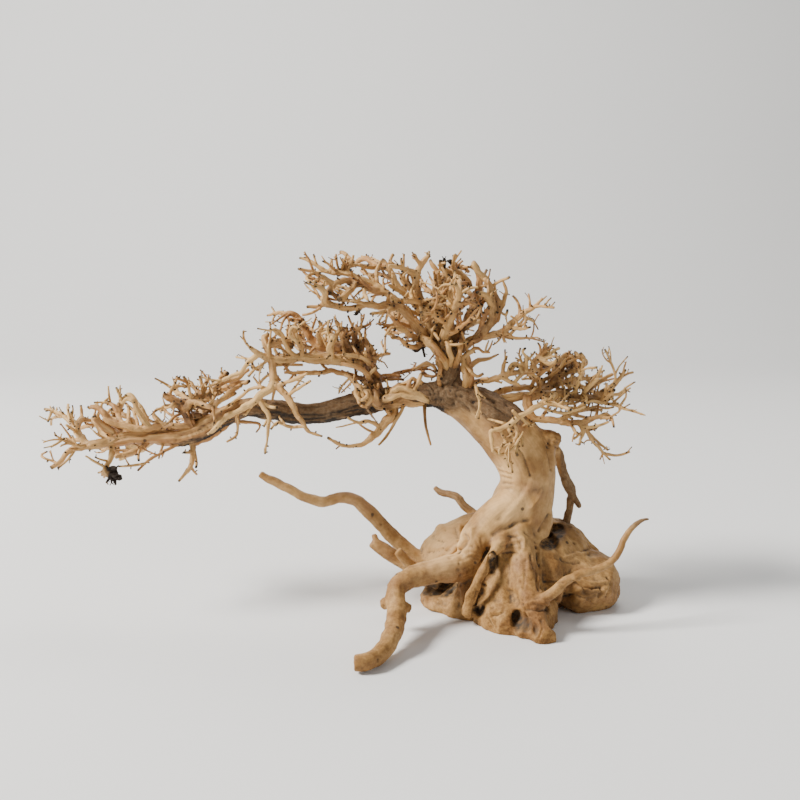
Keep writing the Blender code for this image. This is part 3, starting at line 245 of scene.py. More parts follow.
# The pad above the bough's middle.
MIDDLE_PAD = {
    "pad_stem": ("bough_left", [
        (8, (-80, 131, 6), (-86, 146, 5.4), (-92, 157, 4.8), (-100, 161, 4.2), (-110, 163.5, 3.9),
            (-120, 166, 3), (-125, 171, 2.5), (-128.5, 177.5, 2.1), (-131.5, 183, 1.8), (-136, 185.5, 1.6),
            (-142, 183, 1)),
        (18, (-134, 185, 1.4), (-144, 185.5, 1.2), (-151, 184, .8)),
        (-10, (-116, 165.5, 2), (-119.5, 172, 1.6), (-117, 176.5, 1.4), (-118.5, 181, .9)),
        (-6, (-86, 147, 3.4), (-84.5, 157, 2.8), (-87, 166, 1.6)),
        (-4, (-97, 160, 3), (-101, 168, 2.6), (-105, 175, 2), (-108.5, 181, 1)),
        (14, (-93, 158, 2.6), (-96, 169, 2), (-95, 178.5, .9)),
        (22, (-105, 163, 2.4), (-110, 170, 2), (-113, 176, 1)),
        (-16, (-85, 144, 2), (-91, 144, 1.7), (-101, 147, 1.6), (-110.5, 149, 1.6), (-120, 148.5, 1.5),
              (-141, 148, 1.2)),
    ]),
    "pad_long_limb": ("pad_stem", [
        (-20, (-89, 152, 4.8), (-98, 155, 4.4), (-106, 156, 4), (-120, 157, 3.2), (-130, 158, 3),
              (-140, 156, 2.6), (-150, 157, 2.5), (-156, 160, 2), (-162.5, 164.5, 1.2)),
        (-10, (-150, 157, 2.6), (-151, 165, 2.5), (-152.5, 170, 2), (-150, 173, 1.2)),
        (-14, (-150.5, 164, 2.4), (-142, 168, 2.3), (-135, 165, 1.8)),
        (-30, (-131, 158, 1.8), (-137, 162, 1.5), (-141, 169, 1.3), (-144, 174.5, 1.2), (-150, 175, 1)),
        (-22, (-129, 158, 2), (-130, 166, 3), (-134, 173, 3.6), (-136, 178, 1.4)),
        (-34, (-110, 156.5, 2.4), (-112, 163, 2), (-110, 171, 1.2)),
        (-10, (-157, 160.5, 1.8), (-165, 152.5, 1.5), (-168, 148, 1.4), (-176, 145, 1.3), (-190, 139, .9)),
    ]),
    "pad_back_limb": ("pad_stem", [
        (46, (-88, 150, 3.4), (-96, 154, 2.8), (-110, 159, 2.2), (-124, 164, 1.7), (-137, 168, 1)),
        (40, (-104, 157, 2), (-107, 166, 1.6), (-114, 176, 1)),
        (50, (-118, 162, 1.6), (-131, 158, 1.3), (-145, 160, .8)),
        (30, (-94, 153, 1.8), (-84, 158, 1.5), (-74, 160, 1)),
    ]),
    "pad_link": ("pad_stem", [
        (20, (-84, 141, 2), (-78, 144.5, 1.6), (-70, 147.5, 1.4), (-60, 150, 1.2), (-52, 151, 1),
             (-46.5, 149, .8)),
        (26, (-74, 146, 1.2), (-66, 143.5, .8)),
    ]),
    "fork_legs": ("pad_long_limb", [
        (-20, (-149, 157, 2.6), (-148, 150, 2.7), (-147, 143, 2.7, -17), (-144, 138.5, 2.4, -19),
              (-139.5, 133.5, 2.2, -20), (-135.5, 127, 2, -21), (-133, 121.5, 1.8, -21), (-129.5, 116, 1.5),
              (-125.5, 110.5, 1.2), (-117, 107.5, .9)),
        (-22, (-147, 143, 2.6), (-149, 138.5, 2.5), (-155, 135, 2.5, -19), (-161, 129, 2.4, -20),
              (-170, 124, 2), (-177, 120.5, 1.8), (-184.5, 113, 1.4), (-190, 109, .9)),
        (-24, (-158, 132, 1.7), (-154, 125.5, 1.6, -21), (-151, 120, 1.4), (-152, 109.5, 1.1),
              (-154, 96, .7)),
        (-30, (-139.5, 133.5, 1.2), (-131.5, 138.5, 1), (-124, 143, .8)),
        (-30, (-145, 140, 1.5), (-131.5, 145, 1.3), (-126, 148, .9)),
        (-26, (-171, 123.5, 1.3), (-171, 114.5, 1), (-172.5, 107.5, .9), (-178, 104, .7)),
        (-26, (-128, 114, 1.2), (-139, 114, 1.1), (-146, 116.5, 1), (-150, 112, .7)),
        (-18, (-150, 138, 1.2), (-160, 139, 1.1), (-169, 133, 1), (-181, 123.5, .7)),
    ]),
}

# The crown.
CROWN = {
    "crown_stem": ("trunk", [
        (4, (-36.5, 139, 8), (-38, 146, 7.4), (-36, 153, 6.2), (-38, 160, 6.8), (-42, 167, 5)),
        (-14, (-36, 154, 3), (-29.3, 156, 2.2), (-21.4, 163.7, 2), (-16.2, 161, 1.6), (-11.5, 161, 1)),
        (12, (-36, 150, 3.6), (-25.8, 151.4, 3), (-18.8, 155.8, 2.4), (-12.6, 156.7, 1.9), (-6, 160, 1)),
    ]),
    "crown_low_left": ("crown_stem", [
        (-16, (-40, 160, 3.8), (-50, 168, 3.3), (-56, 175, 3.1), (-60, 181, 3), (-66, 187.5, 2.8),
              (-74, 190.3, 2.3), (-82, 190, 2.1), (-90, 190, 2), (-100, 188, 1.9), (-109.5, 190, 1.9),
              (-115, 191, 1.7), (-120, 189.5, 1.3), (-126.5, 189.5, .8)),
        (-26, (-112, 190.5, 2.2), (-115.5, 194, 2.4), (-114.5, 198, 2), (-119, 202, 1.5),
              (-122.5, 201.5, .9)),
        (-20, (-70, 189, 1.8), (-78.6, 185.9, 1.3), (-87, 185.2, .9)),
        (-4, (-72, 189.8, 1.4), (-76, 184, 1), (-77, 178.5, .7)),
        (-22, (-52, 170, 2), (-59.8, 169.9, 1.7), (-66.4, 176.5, 1.5), (-74.2, 184, 1)),
        (-26, (-50, 167.5, 2), (-59.8, 164.2, 1.6), (-68.6, 169.5, 1.4), (-73, 169.5, .9)),
        (-30, (-64, 174, 1.4), (-72.9, 176, 1.2), (-77.4, 170.8, .8)),
    ]),
    "crown_top_left": ("crown_low_left", [
        (6, (-67, 188, 2.8), (-75, 197, 2.3), (-82, 202, 2), (-89.5, 205, 1.8), (-96, 208, 1.7),
            (-103, 210, 1.7), (-111, 210.5, 1.6), (-120.5, 215.5, 1.4), (-126.5, 218.5, 1.1),
            (-130.3, 219.6, .8)),
        (-14, (-77, 199, 2.4), (-87.5, 201, 2.2), (-94, 204.5, 2.2), (-103, 205.5, 2.2), (-109, 202.5, 2.1),
              (-112, 198, 1.8)),
        (-24, (-95, 204.5, 2.2), (-102.5, 196, 2.2), (-106.5, 194.5, 1.8)),
        (-22, (-90, 203, 1.7), (-90.5, 198, 1.5), (-88, 194, 1)),
        (16, (-108, 210, 1.9), (-102.5, 212.5, 1.7), (-98, 217.5, 1.5), (-102.5, 222, 1.2),
             (-105.5, 223.5, .8)),
        (14, (-110.5, 210.5, 1.4), (-110.3, 218.5, .9)),
        (-20, (-109, 203, 2.2), (-116.5, 208, 1.8), (-123.3, 211.4, 1.2), (-131.6, 213, .8)),
        (-28, (-121, 210.5, 1.2), (-125.5, 207.5, 1), (-123.4, 204.5, .8)),
    ]),
    "crown_up_left": ("crown_stem", [
        (22, (-40, 163, 3.6), (-49, 177, 3), (-57, 189, 2.6), (-66, 198, 2.3), (-70.8, 203, 2.2),
             (-73, 209.2, 2.1), (-76, 214.4, 1.9), (-79, 218.5, 1.2)),
        (30, (-74.5, 211.5, 1.6), (-81, 214.5, 1.4), (-89.5, 214.9, 1.2), (-97, 216.6, .9)),
        (40, (-72, 206, 1.5), (-80, 209.7, 1.4), (-86.5, 208.8, 1.3), (-92, 212, .9)),
        (42, (-76, 214, 1.4), (-84, 218, 1.2), (-92, 220.5, .9)),
        (18, (-75, 213, 1.3), (-72.5, 222, .8)),
        (44, (-60, 193, 1.8), (-66, 193, 1.5), (-78, 197, 1.2), (-88, 199, .8)),
    ]),
    "crown_centre": ("crown_stem", [
        (-12, (-42, 164, 3.6), (-46, 175, 3.2), (-50, 186, 3), (-56, 195, 2.8), (-58.3, 203.6, 2.4),
              (-57.8, 209.2, 2.2), (-55.7, 214.4, 2), (-52.2, 219.5, 1.6), (-49.5, 221, 1)),
        (-16, (-55.5, 215, 1.5), (-59.5, 221.5, 1)),
        (-18, (-58, 207, 2), (-62, 211.5, 1.9), (-68, 213.5, 1.7), (-75.6, 214.4, 1.1)),
        (-24, (-52, 190, 2), (-58, 193, 1.8), (-65, 192.8, 1.3)),
        (-24, (-50, 187, 2), (-40, 190.7, 1.9), (-31.4, 190.2, 1.4)),
        (-22, (-51, 188.5, 1.5), (-45.7, 194.6, 1.2), (-40, 199, .9)),
    ]),
    "crown_middle": ("crown_stem", [
        (12, (-40, 164, 3.4), (-40, 178, 3), (-43, 192, 2.6), (-46, 201, 2.3), (-45, 208, 2),
             (-46.6, 213.6, 1.7), (-49.5, 219, 1)),
        (0, (-45.5, 205, 2.2), (-38, 211, 2.1), (-31.4, 210, 2), (-26, 205.5, 1.8), (-23.5, 201, 1.2)),
        (-6, (-39, 210.5, 1.9), (-42, 213, 1.8), (-43, 217.5, 1.1)),
        (-10, (-33, 210.8, 1.6), (-35, 215, 1.4), (-34.4, 221.5, .8)),
        (26, (-45.5, 199, 2), (-38, 208, 1.9), (-30, 213.6, 1.8), (-25, 210.5, 1.1)),
    ]),
    "crown_right": ("crown_stem", [
        (10, (-38, 161, 3.6), (-30, 174, 3), (-24, 186, 2.6), (-20, 198, 2.3), (-18.6, 207, 2.1),
             (-20.5, 213, 1.9), (-22.7, 217.5, 1.1)),
        (24, (-27, 180, 2), (-18, 190, 1.7), (-14, 198, 1)),
        (30, (-21, 195, 1.8), (-28, 202, 1.5), (-32, 207, 1)),
    ]),
    "crown_right_edge": ("crown_stem", [
        (-10, (-37, 157, 3.4), (-25, 167, 3), (-15, 174, 2.6), (-11, 182, 2.4), (-10, 190, 2.3),
              (-11.5, 197.3, 2.2), (-12.5, 203, 2), (-15, 207, 1.4)),
        (-4, (-14, 176, 2), (-8.1, 180, 1.8), (-6.3, 185, 1.7), (-4.2, 191, 1.5), (-2, 199, 1.2),
             (-4.5, 206.5, .8)),
        (-20, (-10, 191, 2), (-14.5, 195.9, 1.9), (-20, 199, 1.3)),
    ]),
    "crown_fan": ("crown_right_edge", [
        (-18, (-18, 172, 2.6), (-10.4, 171.5, 2.3), (-2.2, 175.5, 2.1), (2.5, 180, 1.9), (9.2, 185, 1.8),
              (15.5, 189.6, 1.4), (20.5, 195, .7)),
        (-26, (13.5, 188.5, 1.2), (20, 189.6, 1), (27.8, 188.9, .7)),
        (-10, (8, 184, 1.2), (15.5, 180.3, .8)),
        (-28, (0, 178, 1.5), (7, 175.5, 1.2), (13.4, 176.9, .8)),
        (-12, (-4, 174.5, 1.6), (2.4, 170.5, 1.2), (10.2, 169.8, 1), (18.4, 170.5, .7)),
        (-26, (-4.5, 174, 1.2), (-2.7, 167.8, .8)),
    ]),
    "crown_front": ("crown_stem", [
        (-44, (-39, 160, 3.4), (-40, 171, 2.8), (-36, 183, 2.3), (-31, 195, 1.8), (-34, 204, 1.2)),
        (-48, (-38, 178, 1.9), (-47, 184, 1.6), (-55, 186, 1)),
        (-40, (-34, 187, 1.7), (-26, 192, 1.4), (-19, 190, .9)),
        (-36, (-39.5, 172, 1.8), (-31, 176, 1.5), (-23, 182, 1)),
    ]),
    "crown_back": ("crown_stem", [
        (54, (-38, 158, 3.8), (-36, 172, 3), (-39, 186, 2.5), (-46, 197, 2), (-57, 204, 1.2)),
        (52, (-37, 180, 2), (-28, 191, 1.7), (-18, 199, 1)),
        (40, (-42, 191, 1.8), (-43, 202, 1.5), (-36, 213, .9)),
        (48, (-36, 171, 2), (-24, 178, 1.6), (-11, 183, 1)),
        (60, (-37, 175, 1.8), (-48, 181, 1.5), (-58, 188, .9)),
    ]),
    "crown_back_left": ("crown_stem", [
        (56, (-39, 155, 3.4), (-50, 170, 2.8), (-62, 180, 2.3), (-76, 187, 1.8), (-92, 192, 1)),
        (50, (-68, 183.5, 1.7), (-73, 194, 1.4), (-82, 204, .9)),
        (64, (-56, 175.5, 1.6), (-66, 174, 1.3), (-76, 172, .8)),
    ]),
}

# The pad to the right of the trunk's head.
RIGHT_PAD = {
    "right_light_limb": ("trunk", [
        (-16, (-30, 134, 3), (-26, 140, 2.4), (-20, 142.6, 2.1), (-13, 143.2, 1.9), (0, 147.6, 1.8),
              (6.6, 148.5, 1.8), (15.5, 149.3, 2), (15.5, 153.5, 2), (18.2, 157.8, 2), (21, 161, 1.7),
              (24.4, 167.2, .9)),
        (-4, (-4, 146.3, 1.4), (-2.9, 153.4, 1.2), (-.7, 159.2, .8)),
        (JOINS, (0, 147.6, 1.4), (2.6, 153.5, 1.4), (6.2, 153.5, 1.3), (9, 149, 1.3)),
        (-28, (11.6, 149, 1.2), (10.8, 157.4, 1), (9, 161.4, .9), (10.8, 163.6, .7)),
        (-30, (18.5, 158.3, 2.1), (25.7, 154.3, 1.6), (31, 157, .9)),
        (-8, (-6, 145.7, 1.5), (2.4, 142.3, 1.3), (8, 140, .9)),
        (-22, (-21, 142.5, 1.8), (-19.5, 136, 1.5, -18), (-17.8, 129.4, 1.2, -20), (-18.2, 118.7, .8)),
    ]),
    "right_main_limb": ("trunk", [
        (2, (-12, 121, 4), (-4, 130.5, 3.2), (6.8, 133.4, 2.8), (17.8, 133.4, 2.7), (26.6, 134.7, 2.6),
            (37.6, 133.8, 2.5), (44, 132, 2.4), (53, 132, 2.3), (58.6, 135.3, 2.1), (63.8, 138.4, 2),
            (68.4, 142.6, 1.6), (74, 150, .9)),
        (14, (48, 132, 2), (52, 138, 1.7), (60.4, 144.2, 1.4), (65.6, 147.4, .9)),
        (-12, (46, 132, 1.8), (52, 141, 1.4), (57, 145, .9)),
        (-4, (66, 140.5, 1.2), (67.4, 147, .9), (60.2, 162.8, .6)),
        (-16, (42, 132.5, 1.5), (44.6, 143.7, 1.2), (47, 149.8, 1), (56, 151.8, .7)),
        (-14, (54, 132.4, 2), (61, 131.5, 1.7), (67, 137.4, 1)),
        (-18, (49, 132, 1.8), (62.3, 128.7, 1.3), (77, 124.7, 1), (87.6, 121, .7)),
        (10, (58, 135, 1.5), (68, 134, 1.2), (76, 138, .8)),
    ]),
    "right_upper_limb": ("trunk", [
        (18, (-14, 121, 3), (-9, 133.5, 2.5, 8), (0, 137.8, 2.3), (11.2, 138.8, 2.1), (20.9, 138.8, 2.2),
             (26.6, 141, 2.2), (30.1, 146, 2.2), (31.9, 152, 2.1), (34.5, 157.4, 2), (38, 159.4, 1.7),
             (41.5, 154, 1)),
        (24, (30.5, 146.5, 2), (39.8, 150.3, 1.8), (48.3, 154.5, 1.7), (44.2, 158, 1.5), (41.5, 161.5, .9)),
        (28, (22, 139.2, 1.7), (19, 147, 1.4), (22, 154, .9)),
    ]),
    "right_front_limb": ("right_main_limb", [
        (-27, (30, 134.5, 2.8), (28.8, 132, 2.4, -12), (22.2, 129, 2.3, -22), (15.6, 125, 2.2, -26),
              (9, 121, 2.1, -27), (2, 116, 1.8, -27), (-3, 113, 1.5), (-10, 111, 1.3), (-10, 105, 1.2),
              (-9, 97, .8)),
        (-27, (0, 114.5, 1.4), (5, 104, 1.1), (6, 96, .8)),
        (-27, (-4.5, 112.5, 1.2), (-1, 104, 1), (2, 94, .9), (4, 84, .7)),
        (-34, (7, 119.6, 1.3), (3.6, 124, .9)),
        (-38, (22, 129, 1.6), (30, 128, 1.3), (40, 124.5, .9)),
    ]),
    "right_lower_limb": ("right_main_limb", [
        (-14, (12, 133.4, 3.2), (13, 127, 3.2, -6), (14.7, 121.8, 2.8, -9), (18.5, 119.2, 2.4, -10),
              (31, 117.4, 2.2), (37.6, 116.2, 2.1), (48.3, 117, 2), (56, 119.4, 1.7), (64, 120, 1)),
        (-22, (46, 116.8, 2.1), (47.6, 111, 1.6), (45.8, 101.5, .9)),
        (-8, (49.6, 117.2, 1.8), (52.4, 107.8, 1.3), (59, 99.7, 1.1), (66.1, 92.2, .8)),
        (-14, (62, 96.5, 1), (69.7, 95, .9), (78.2, 97.8, .7)),
        (-26, (59, 119.6, 1.2), (65.6, 119, 1), (67.4, 113.5, .7)),
        (-26, (39, 116.3, 1.4), (43.9, 108.8, .8)),
        (-2, (33, 117.2, 1.8), (40, 122, 1.5), (50, 124.5, 1.1), (60, 124.5, .8)),
    ]),
    "right_back_limb": ("right_main_limb", [
        (46, (16, 133.4, 3), (24, 138, 2.5), (34, 142, 2.1), (46, 144, 1.7), (59, 146, 1)),
        (42, (30, 140.5, 1.8), (29, 150, 1.5), (34, 159, .9)),
        (50, (38, 142.8, 1.7), (50, 138, 1.4), (63, 132, .8)),
        (40, (25, 138.4, 1.7), (17, 145, 1.4), (9, 150, .9)),
        (44, (20, 135.6, 1.6), (30, 130, 1.3), (40, 124, .8)),
    ]),
}

# How fine the skins are, in millimetres.
TRUNK_VOXEL = 0.85
LIMB_VOXEL = 0.5
# The share of a skin's faces that is kept once its surface is shaped.
TRUNK_FACES_KEPT = 0.56
LIMB_FACES_KEPT = 0.42
# Stems at least this thick, in millimetres of radius, are fused into their piece's skin.
FUSED_RADIUS = 1.35
TRUNK_FUSED_RADIUS = 1.5

# How pale each limb's wood is, from 0 for deep orange to 1 for cream.
PALE_LIMBS = {
    "fork_legs": 0.62, "right_front_limb": 0.7, "right_light_limb": 0.62, "bough_tip_top": 0.8,
    "bough_tip_low": 0.72, "bough_tip_up": 0.7, "bough_tip_drop": 0.5, "knot_limb": 0.35,
    "twig_under_tip": 0.5, "crown_top_left": 0.45, "right_main_limb": 0.5, "loop_limb": 0.3,
    "pad_link": 0.1, "twig_under": 0.3, "pad_long_limb": 0.62, "pad_back_limb": 0.5,
    "right_lower_limb": 0.5, "right_upper_limb": 0.5,
}
USUAL_PALENESS = 0.42

# How close together side twigs stand, in millimetres, on limbs that have fewer than the rest.
SPACINGS = {
    "bough_tip_low": 15, "bough_tip_drop": 70, "bough_tip_back": 12, "bough_tip_top": 12, "bough_tip_up": 11,
    "twig_under_tip": 24, "twig_under": 30, "twig_drop": 30, "fork_legs": 34, "loop_limb": 22, "pad_link": 16,
    "pad_long_limb": 14, "right_front_limb": 26, "right_light_limb": 14, "right_lower_limb": 16,
    "right_upper_limb": 15, "crown_right_edge": 18, "crown_top_left": 12, "crown_up_left": 12,
    "crown_low_left": 12,
}
USUAL_SPACING = 8.5
# Stems that are a bundle of strands: each is drawn no thicker than this, with strands around it.
WIDEST = {
    ("knot_limb", 0): 3.2, ("pad_long_limb", 4): 1.7, ("pad_stem", 3): 2.2, ("pad_stem", 4): 2.2,
    ("pad_stem", 0): 4.6, ("pad_long_limb", 0): 3.6, ("bough_tip_drop", 0): 2.2,
    ("right_front_limb", 0): 1.8, ("right_front_limb", 4): 1.2, ("right_light_limb", 4): 1.4,
    ("right_light_limb", 6): 1.1,
}
# The limbs that are one with the trunk's wood.
TRUNK_WOOD = ("trunk", "bough_left", "crown_stem")

# Strands that are seen in front of and between the planned stems: how far back the tip stands,
# then across, up and radius of each point. Each grows from the stem that is seen nearest to it.
MORE_CROWN = [
    (-8, (-11, 194, 1.6), (-12.5, 203, 1.8), (-16, 208, 2), (-20.5, 212.5, 1.9), (-23, 217, 1.4)),
    (-4, (-9, 180, 1.8), (-7.5, 186, 1.8), (-7, 191, 1.7), (-8.5, 196, 1.5), (-9, 201, 1.1)),
    (-10, (-5, 186, .9), (-2, 184.5, .9), (-1.2, 187.5, .8)),
    (-10, (-57, 196, 2), (-62, 200, 2), (-66, 205, 1.8), (-68, 210, 1.1)),
    (-2, (-56, 190, 1.8), (-62, 195, 1.8), (-69, 199, 1.5), (-75, 203, 1)),
    (-12, (-43, 190, 2), (-42, 197, 2.1), (-40, 203, 1.9), (-36, 208, 1.4)),
    (-14, (-36, 190, 1.9), (-36, 198, 2), (-34, 204, 1.6), (-30, 208, 1.1)),
    (-6, (-30, 194, 1.5), (-31, 203, 1.6), (-33, 209, 1.2)),
    (-16, (-38, 166, 1.5), (-38, 175, 1.7), (-36, 183, 1.6), (-30, 190, 1.4), (-25, 196, 1)),
    (-12, (-40, 170, 1.4), (-43, 180, 1.6), (-45, 188, 1.5), (-47, 196, 1.1)),
    (-8, (-44, 166, 1.5), (-49, 175, 1.6), (-53, 184, 1.5), (-56, 193, 1.1)),
    (-6, (-33, 172, 1.2), (-28, 180, 1.2), (-23, 188, 1.2), (-19, 192, .9)),
    (-2, (-27, 172, 1.1), (-22, 179, 1.1), (-18.5, 186, 1), (-17, 191, .9)),
    (-8, (-22, 171, 1.5), (-17.5, 178, 1.5), (-15, 184, 1.4), (-13, 190, 1.1)),
    (-4, (-33, 162, 1.2), (-25, 166, 1.5, -4), (-19, 169, 1.6), (-14, 174, 1.4), (-11, 179, 1.1)),
    (-4, (-20, 198, 1), (-15, 195.5, 1.1), (-10.5, 192, 1)),
    (-6, (-21, 202, 1), (-16, 202.5, .9), (-12.5, 203.5, .9)),
    (-14, (-50, 176, 1), (-46, 172, 1.1), (-43, 168, 1)),
    (-16, (-53, 187, 1.2), (-49, 191, 1.3), (-44, 194, 1.1), (-41, 199, .9)),
    (-16, (-28, 181, 1), (-31, 176, 1.2), (-36, 172, 1)),
    (-14, (-48, 161, .9), (-45, 155, .9), (-43, 150, .9), (-42, 144, .9)),
    (-2, (-95, 215, 1.1), (-93, 218.5, 1.8), (-89, 219, 1.9), (-85, 216.5, 1.7), (-80, 214, 1.2)),
    (2, (-78, 212, 1.2), (-86, 213.5, 1.4), (-92, 214.5, 1.2), (-98, 215, .9)),
    (-6, (-109, 203, 1.5), (-112.5, 199, 1.5), (-113, 194.5, 1.5), (-110, 191, 1.5), (-105, 188.5, 1.2)),
    (-10, (-95, 202.5, 1.5), (-100, 198.5, 1.6), (-105, 194.8, 1.6), (-108.5, 195.5, 1.4),
          (-110.5, 198, .9)),
    (0, (-78, 200, 1.2), (-86, 204, 1.3), (-94, 207, 1.2), (-102, 209.5, 1.1), (-107, 209, .9)),
    (-4, (-112, 203, 1.1), (-116, 203, 1.1), (-121, 204.5, .9)),
    (-8, (-113, 191.5, 1.3), (-117, 194, 1.2), (-119.5, 198, 1), (-122, 202, .9)),
    (-2, (-113, 204, 1.1), (-118, 207.5, 1), (-121.5, 211.5, .9)),
    (4, (-114, 205, 1), (-120, 206, .9), (-125, 208.5, .9), (-128.5, 212, .7)),
    (-8, (-105, 211, .9), (-107, 216, .9), (-107.5, 221.5, .7)),
    (-4, (-104, 211, .9), (-103, 217, .9), (-101, 222.5, .6)),
    (-10, (-107, 211, .9), (-111, 215, .9), (-116, 217.5, .6)),
    (2, (-101, 210, .9), (-98, 216, .9), (-96.5, 221, .7)),
    (-12, (-60, 176, 1.4), (-66, 178, 1.8), (-72, 178.5, 1.5), (-76, 175.5, .9)),
    (-6, (-56.5, 183, 1.6), (-62, 187, 1.8), (-68, 192, 1.6), (-74, 196, 1.2)),
    (-12, (-13.5, 160, .8), (-11.5, 164, .7), (-10, 168.5, .4)),
    (-10, (-14.5, 160, .8), (-14, 164.5, .7), (-12.5, 168.5, .4)),
    (-8, (-31, 156, 1.8), (-26.5, 159.5, 1.9), (-22, 161.5, 1.2)),
    (1, (-57, 176, 1.8), (-52, 169, 2.4, -10), (-46.5, 163, 2.7, -9), (-41.5, 157, 2.6, -7),
        (-37, 148, 2.2)),
    (-8, (-54, 171, 1.1), (-48, 165.5, 1.4, -13), (-43, 160.5, 1.4, -12), (-40, 155.5, 1.1)),
    (1, (-42, 173, 1.4), (-38.5, 166, 1.7, -10), (-36.5, 160, 1.9, -9), (-36, 151, 1.7)),
    (1, (-27, 171, 1.2), (-30, 164, 1.6, -9), (-31.5, 158.5, 1.8, -8), (-34, 150, 1.6)),
    (-1, (-28.5, 157, 1.7), (-27.5, 151, 2, -6), (-26.5, 145, 2.1, -7), (-28, 137, 2)),
    (-2, (-24, 158, 1.3), (-24, 152, 1.6, -5), (-23, 146, 1.7, -6), (-25, 137, 1.6)),
    (-5, (-27, 154, .9), (-24, 149.5, 1.1, -9), (-20, 146, 1.1, -8), (-16, 147.5, .9)),
    (0, (-46, 163, 1.1), (-44.5, 157, 1.2, -7), (-42.5, 151, 1.3, -7), (-43.5, 145, 1.2, -6),
        (-42, 137, 1.2)),
]
MORE_MIDDLE = [
    (-25, (-129, 163, 1), (-133, 168, 1.1, -24), (-137, 172, 1.1, -25), (-135, 177, 1, -25),
          (-131, 175, .9)),
    (-26, (-131, 166, .9), (-128, 171, 1.1, -25), (-130, 176, 1, -26), (-134, 178.5, .9)),
    (-24, (-133, 167, .9), (-136.5, 169, .9, -26), (-138.5, 174, .9, -25), (-137, 179, .7)),
    (-18, (-84, 150, 1.3), (-88, 155, 1.5, -14), (-95, 158.5, 1.5, -16), (-104, 160, 1.3)),
    (-14, (-80, 143, 1.5), (-83.5, 149, 1.7, -10), (-86.5, 156, 1.6, -12), (-92, 162, 1.3)),
    (-17, (-86, 140, 1.6), (-89.5, 147, 1.8, -16), (-96, 152, 1.7, -19), (-105, 154, 1.4)),
    (-16, (-84, 129, 2), (-79, 130.5, 2.3, -16), (-73, 133.5, 2.6, -17), (-67, 135.5, 2.8, -17),
          (-61, 135.5, 2.8, -17), (-55.5, 133, 2.4, -16), (-50, 131, 2.2, -16)),
    (-18, (-81, 131, 1.4), (-75, 131.6, 1.5, -19), (-68, 133.8, 1.4, -20), (-62, 133, 1.6, -20),
          (-56, 132, 1.6, -19), (-49, 129.6, 1.8, -18)),
    (-17, (-79, 132.5, 1.1), (-73, 136, 1.5, -18), (-67, 138.6, 1.5, -19), (-62, 137.2, 1.4, -20),
          (-56.5, 134.6, 1.4, -19), (-52, 131.8, 1.2, -18)),
    (-14, (-70, 136, 1.4), (-68, 140, 1.6, -15), (-64.5, 142, 1.4, -15), (-61, 143.8, 1)),
    (-19, (-66, 134, .9), (-63.5, 137, 1, -21), (-60, 139, 1, -19), (-58.5, 142.5, .8)),
    (-16, (-86, 133, 1.2), (-81, 134.5, 1.2, -17), (-77.5, 131.5, 1.2, -19), (-72.5, 129.5, 1)),
    (-14, (-60, 136, 1.6), (-57.5, 140, 1.5, -16), (-55.5, 144, 1.3), (-54.5, 148, 1)),
    (-15, (-76, 133, 1.8), (-72, 138, 1.5, -16), (-68, 141.5, .9)),
    (-12, (-62.5, 137, 1.3), (-62.3, 141.5, 1.4), (-60.6, 144.2, 1.4), (-57.5, 143.4, 1.3),
          (-55, 144.5, .9)),
    (-2, (-60, 150.4, 1.1), (-55.2, 152.9, 1.3), (-51.4, 153.8, 1.4), (-47.5, 152.4, 1.2),
         (-44.6, 149, .9)),
    (-6, (-54, 151.5, 1.1), (-52.8, 147, 1.2), (-48, 145.6, 1.2), (-45, 146.8, .9)),
    (-4, (-129, 160, 1.5), (-131, 168, 1.8), (-134, 175, 1.5), (-133, 180, .9)),
    (2, (-127, 165, 1.4), (-130.5, 172, 1.5), (-130, 179, .9)),
    (-8, (-132, 165, 1.1), (-136, 171, 1), (-135.5, 177, .8)),
    (-2, (-118, 163, 1.4), (-114, 170, 1.4), (-112, 176, .9)),
    (-6, (-112, 162, 1.6), (-108.5, 170, 1.6), (-106, 177, 1)),
    (2, (-104, 162, 1.9), (-102.5, 170, 1.9), (-101, 176.5, 1.1)),
    (-6, (-98, 160, 1.8), (-97, 168, 1.8), (-95, 175, 1.4), (-91, 178, .9)),
    (2, (-92, 157, 1.8), (-91.5, 166, 1.6), (-93.5, 173, 1)),
    (-2, (-87.5, 154, 1.6), (-87.5, 162, 1.5), (-90.5, 169, 1)),
    (-4, (-108, 160, 1.6), (-103, 166, 1.5), (-99, 172, 1)),
    (-2, (-94, 176.5, .9), (-90, 177, .9), (-86, 179, .6)),
    (-8, (-147, 159, 1.1), (-146.5, 163.5, 1), (-143, 165, 1), (-140.8, 162, 1), (-140.5, 158.5, .9)),
    (-2, (-151, 164, 1.2), (-149, 168, 1.4), (-143.5, 168.2, 1.4), (-138.5, 165, 1.2), (-136.5, 160, 1)),
    (-10, (-150, 157, 1.1), (-155, 153, .9), (-160, 150, .9), (-163.5, 146, .9)),
    (-6, (-158, 156, .9), (-160.5, 152.5, .9), (-157, 150, .9), (-154, 153, .9)),
    (-4, (-147, 152.5, .9), (-140, 153, .9), (-129, 153.3, .9)),
    (-6, (-147.5, 148, 1), (-152, 146, .9), (-156, 141.5, .9)),
    (-8, (-88, 159, 1), (-83, 157, 1), (-79.5, 160.5, .9)),
    (-6, (-80, 147, .9), (-73, 147, .9), (-67, 146, .8)),
    (-2, (-79, 143.5, .9), (-72, 144, .8), (-66, 144, .6)),
    (0, (-128, 181, .9), (-125, 177, .9), (-121, 173, .7)),
    (2, (-143, 185, .9), (-137, 182, 1.1), (-131, 179.5, 1.1)),
]
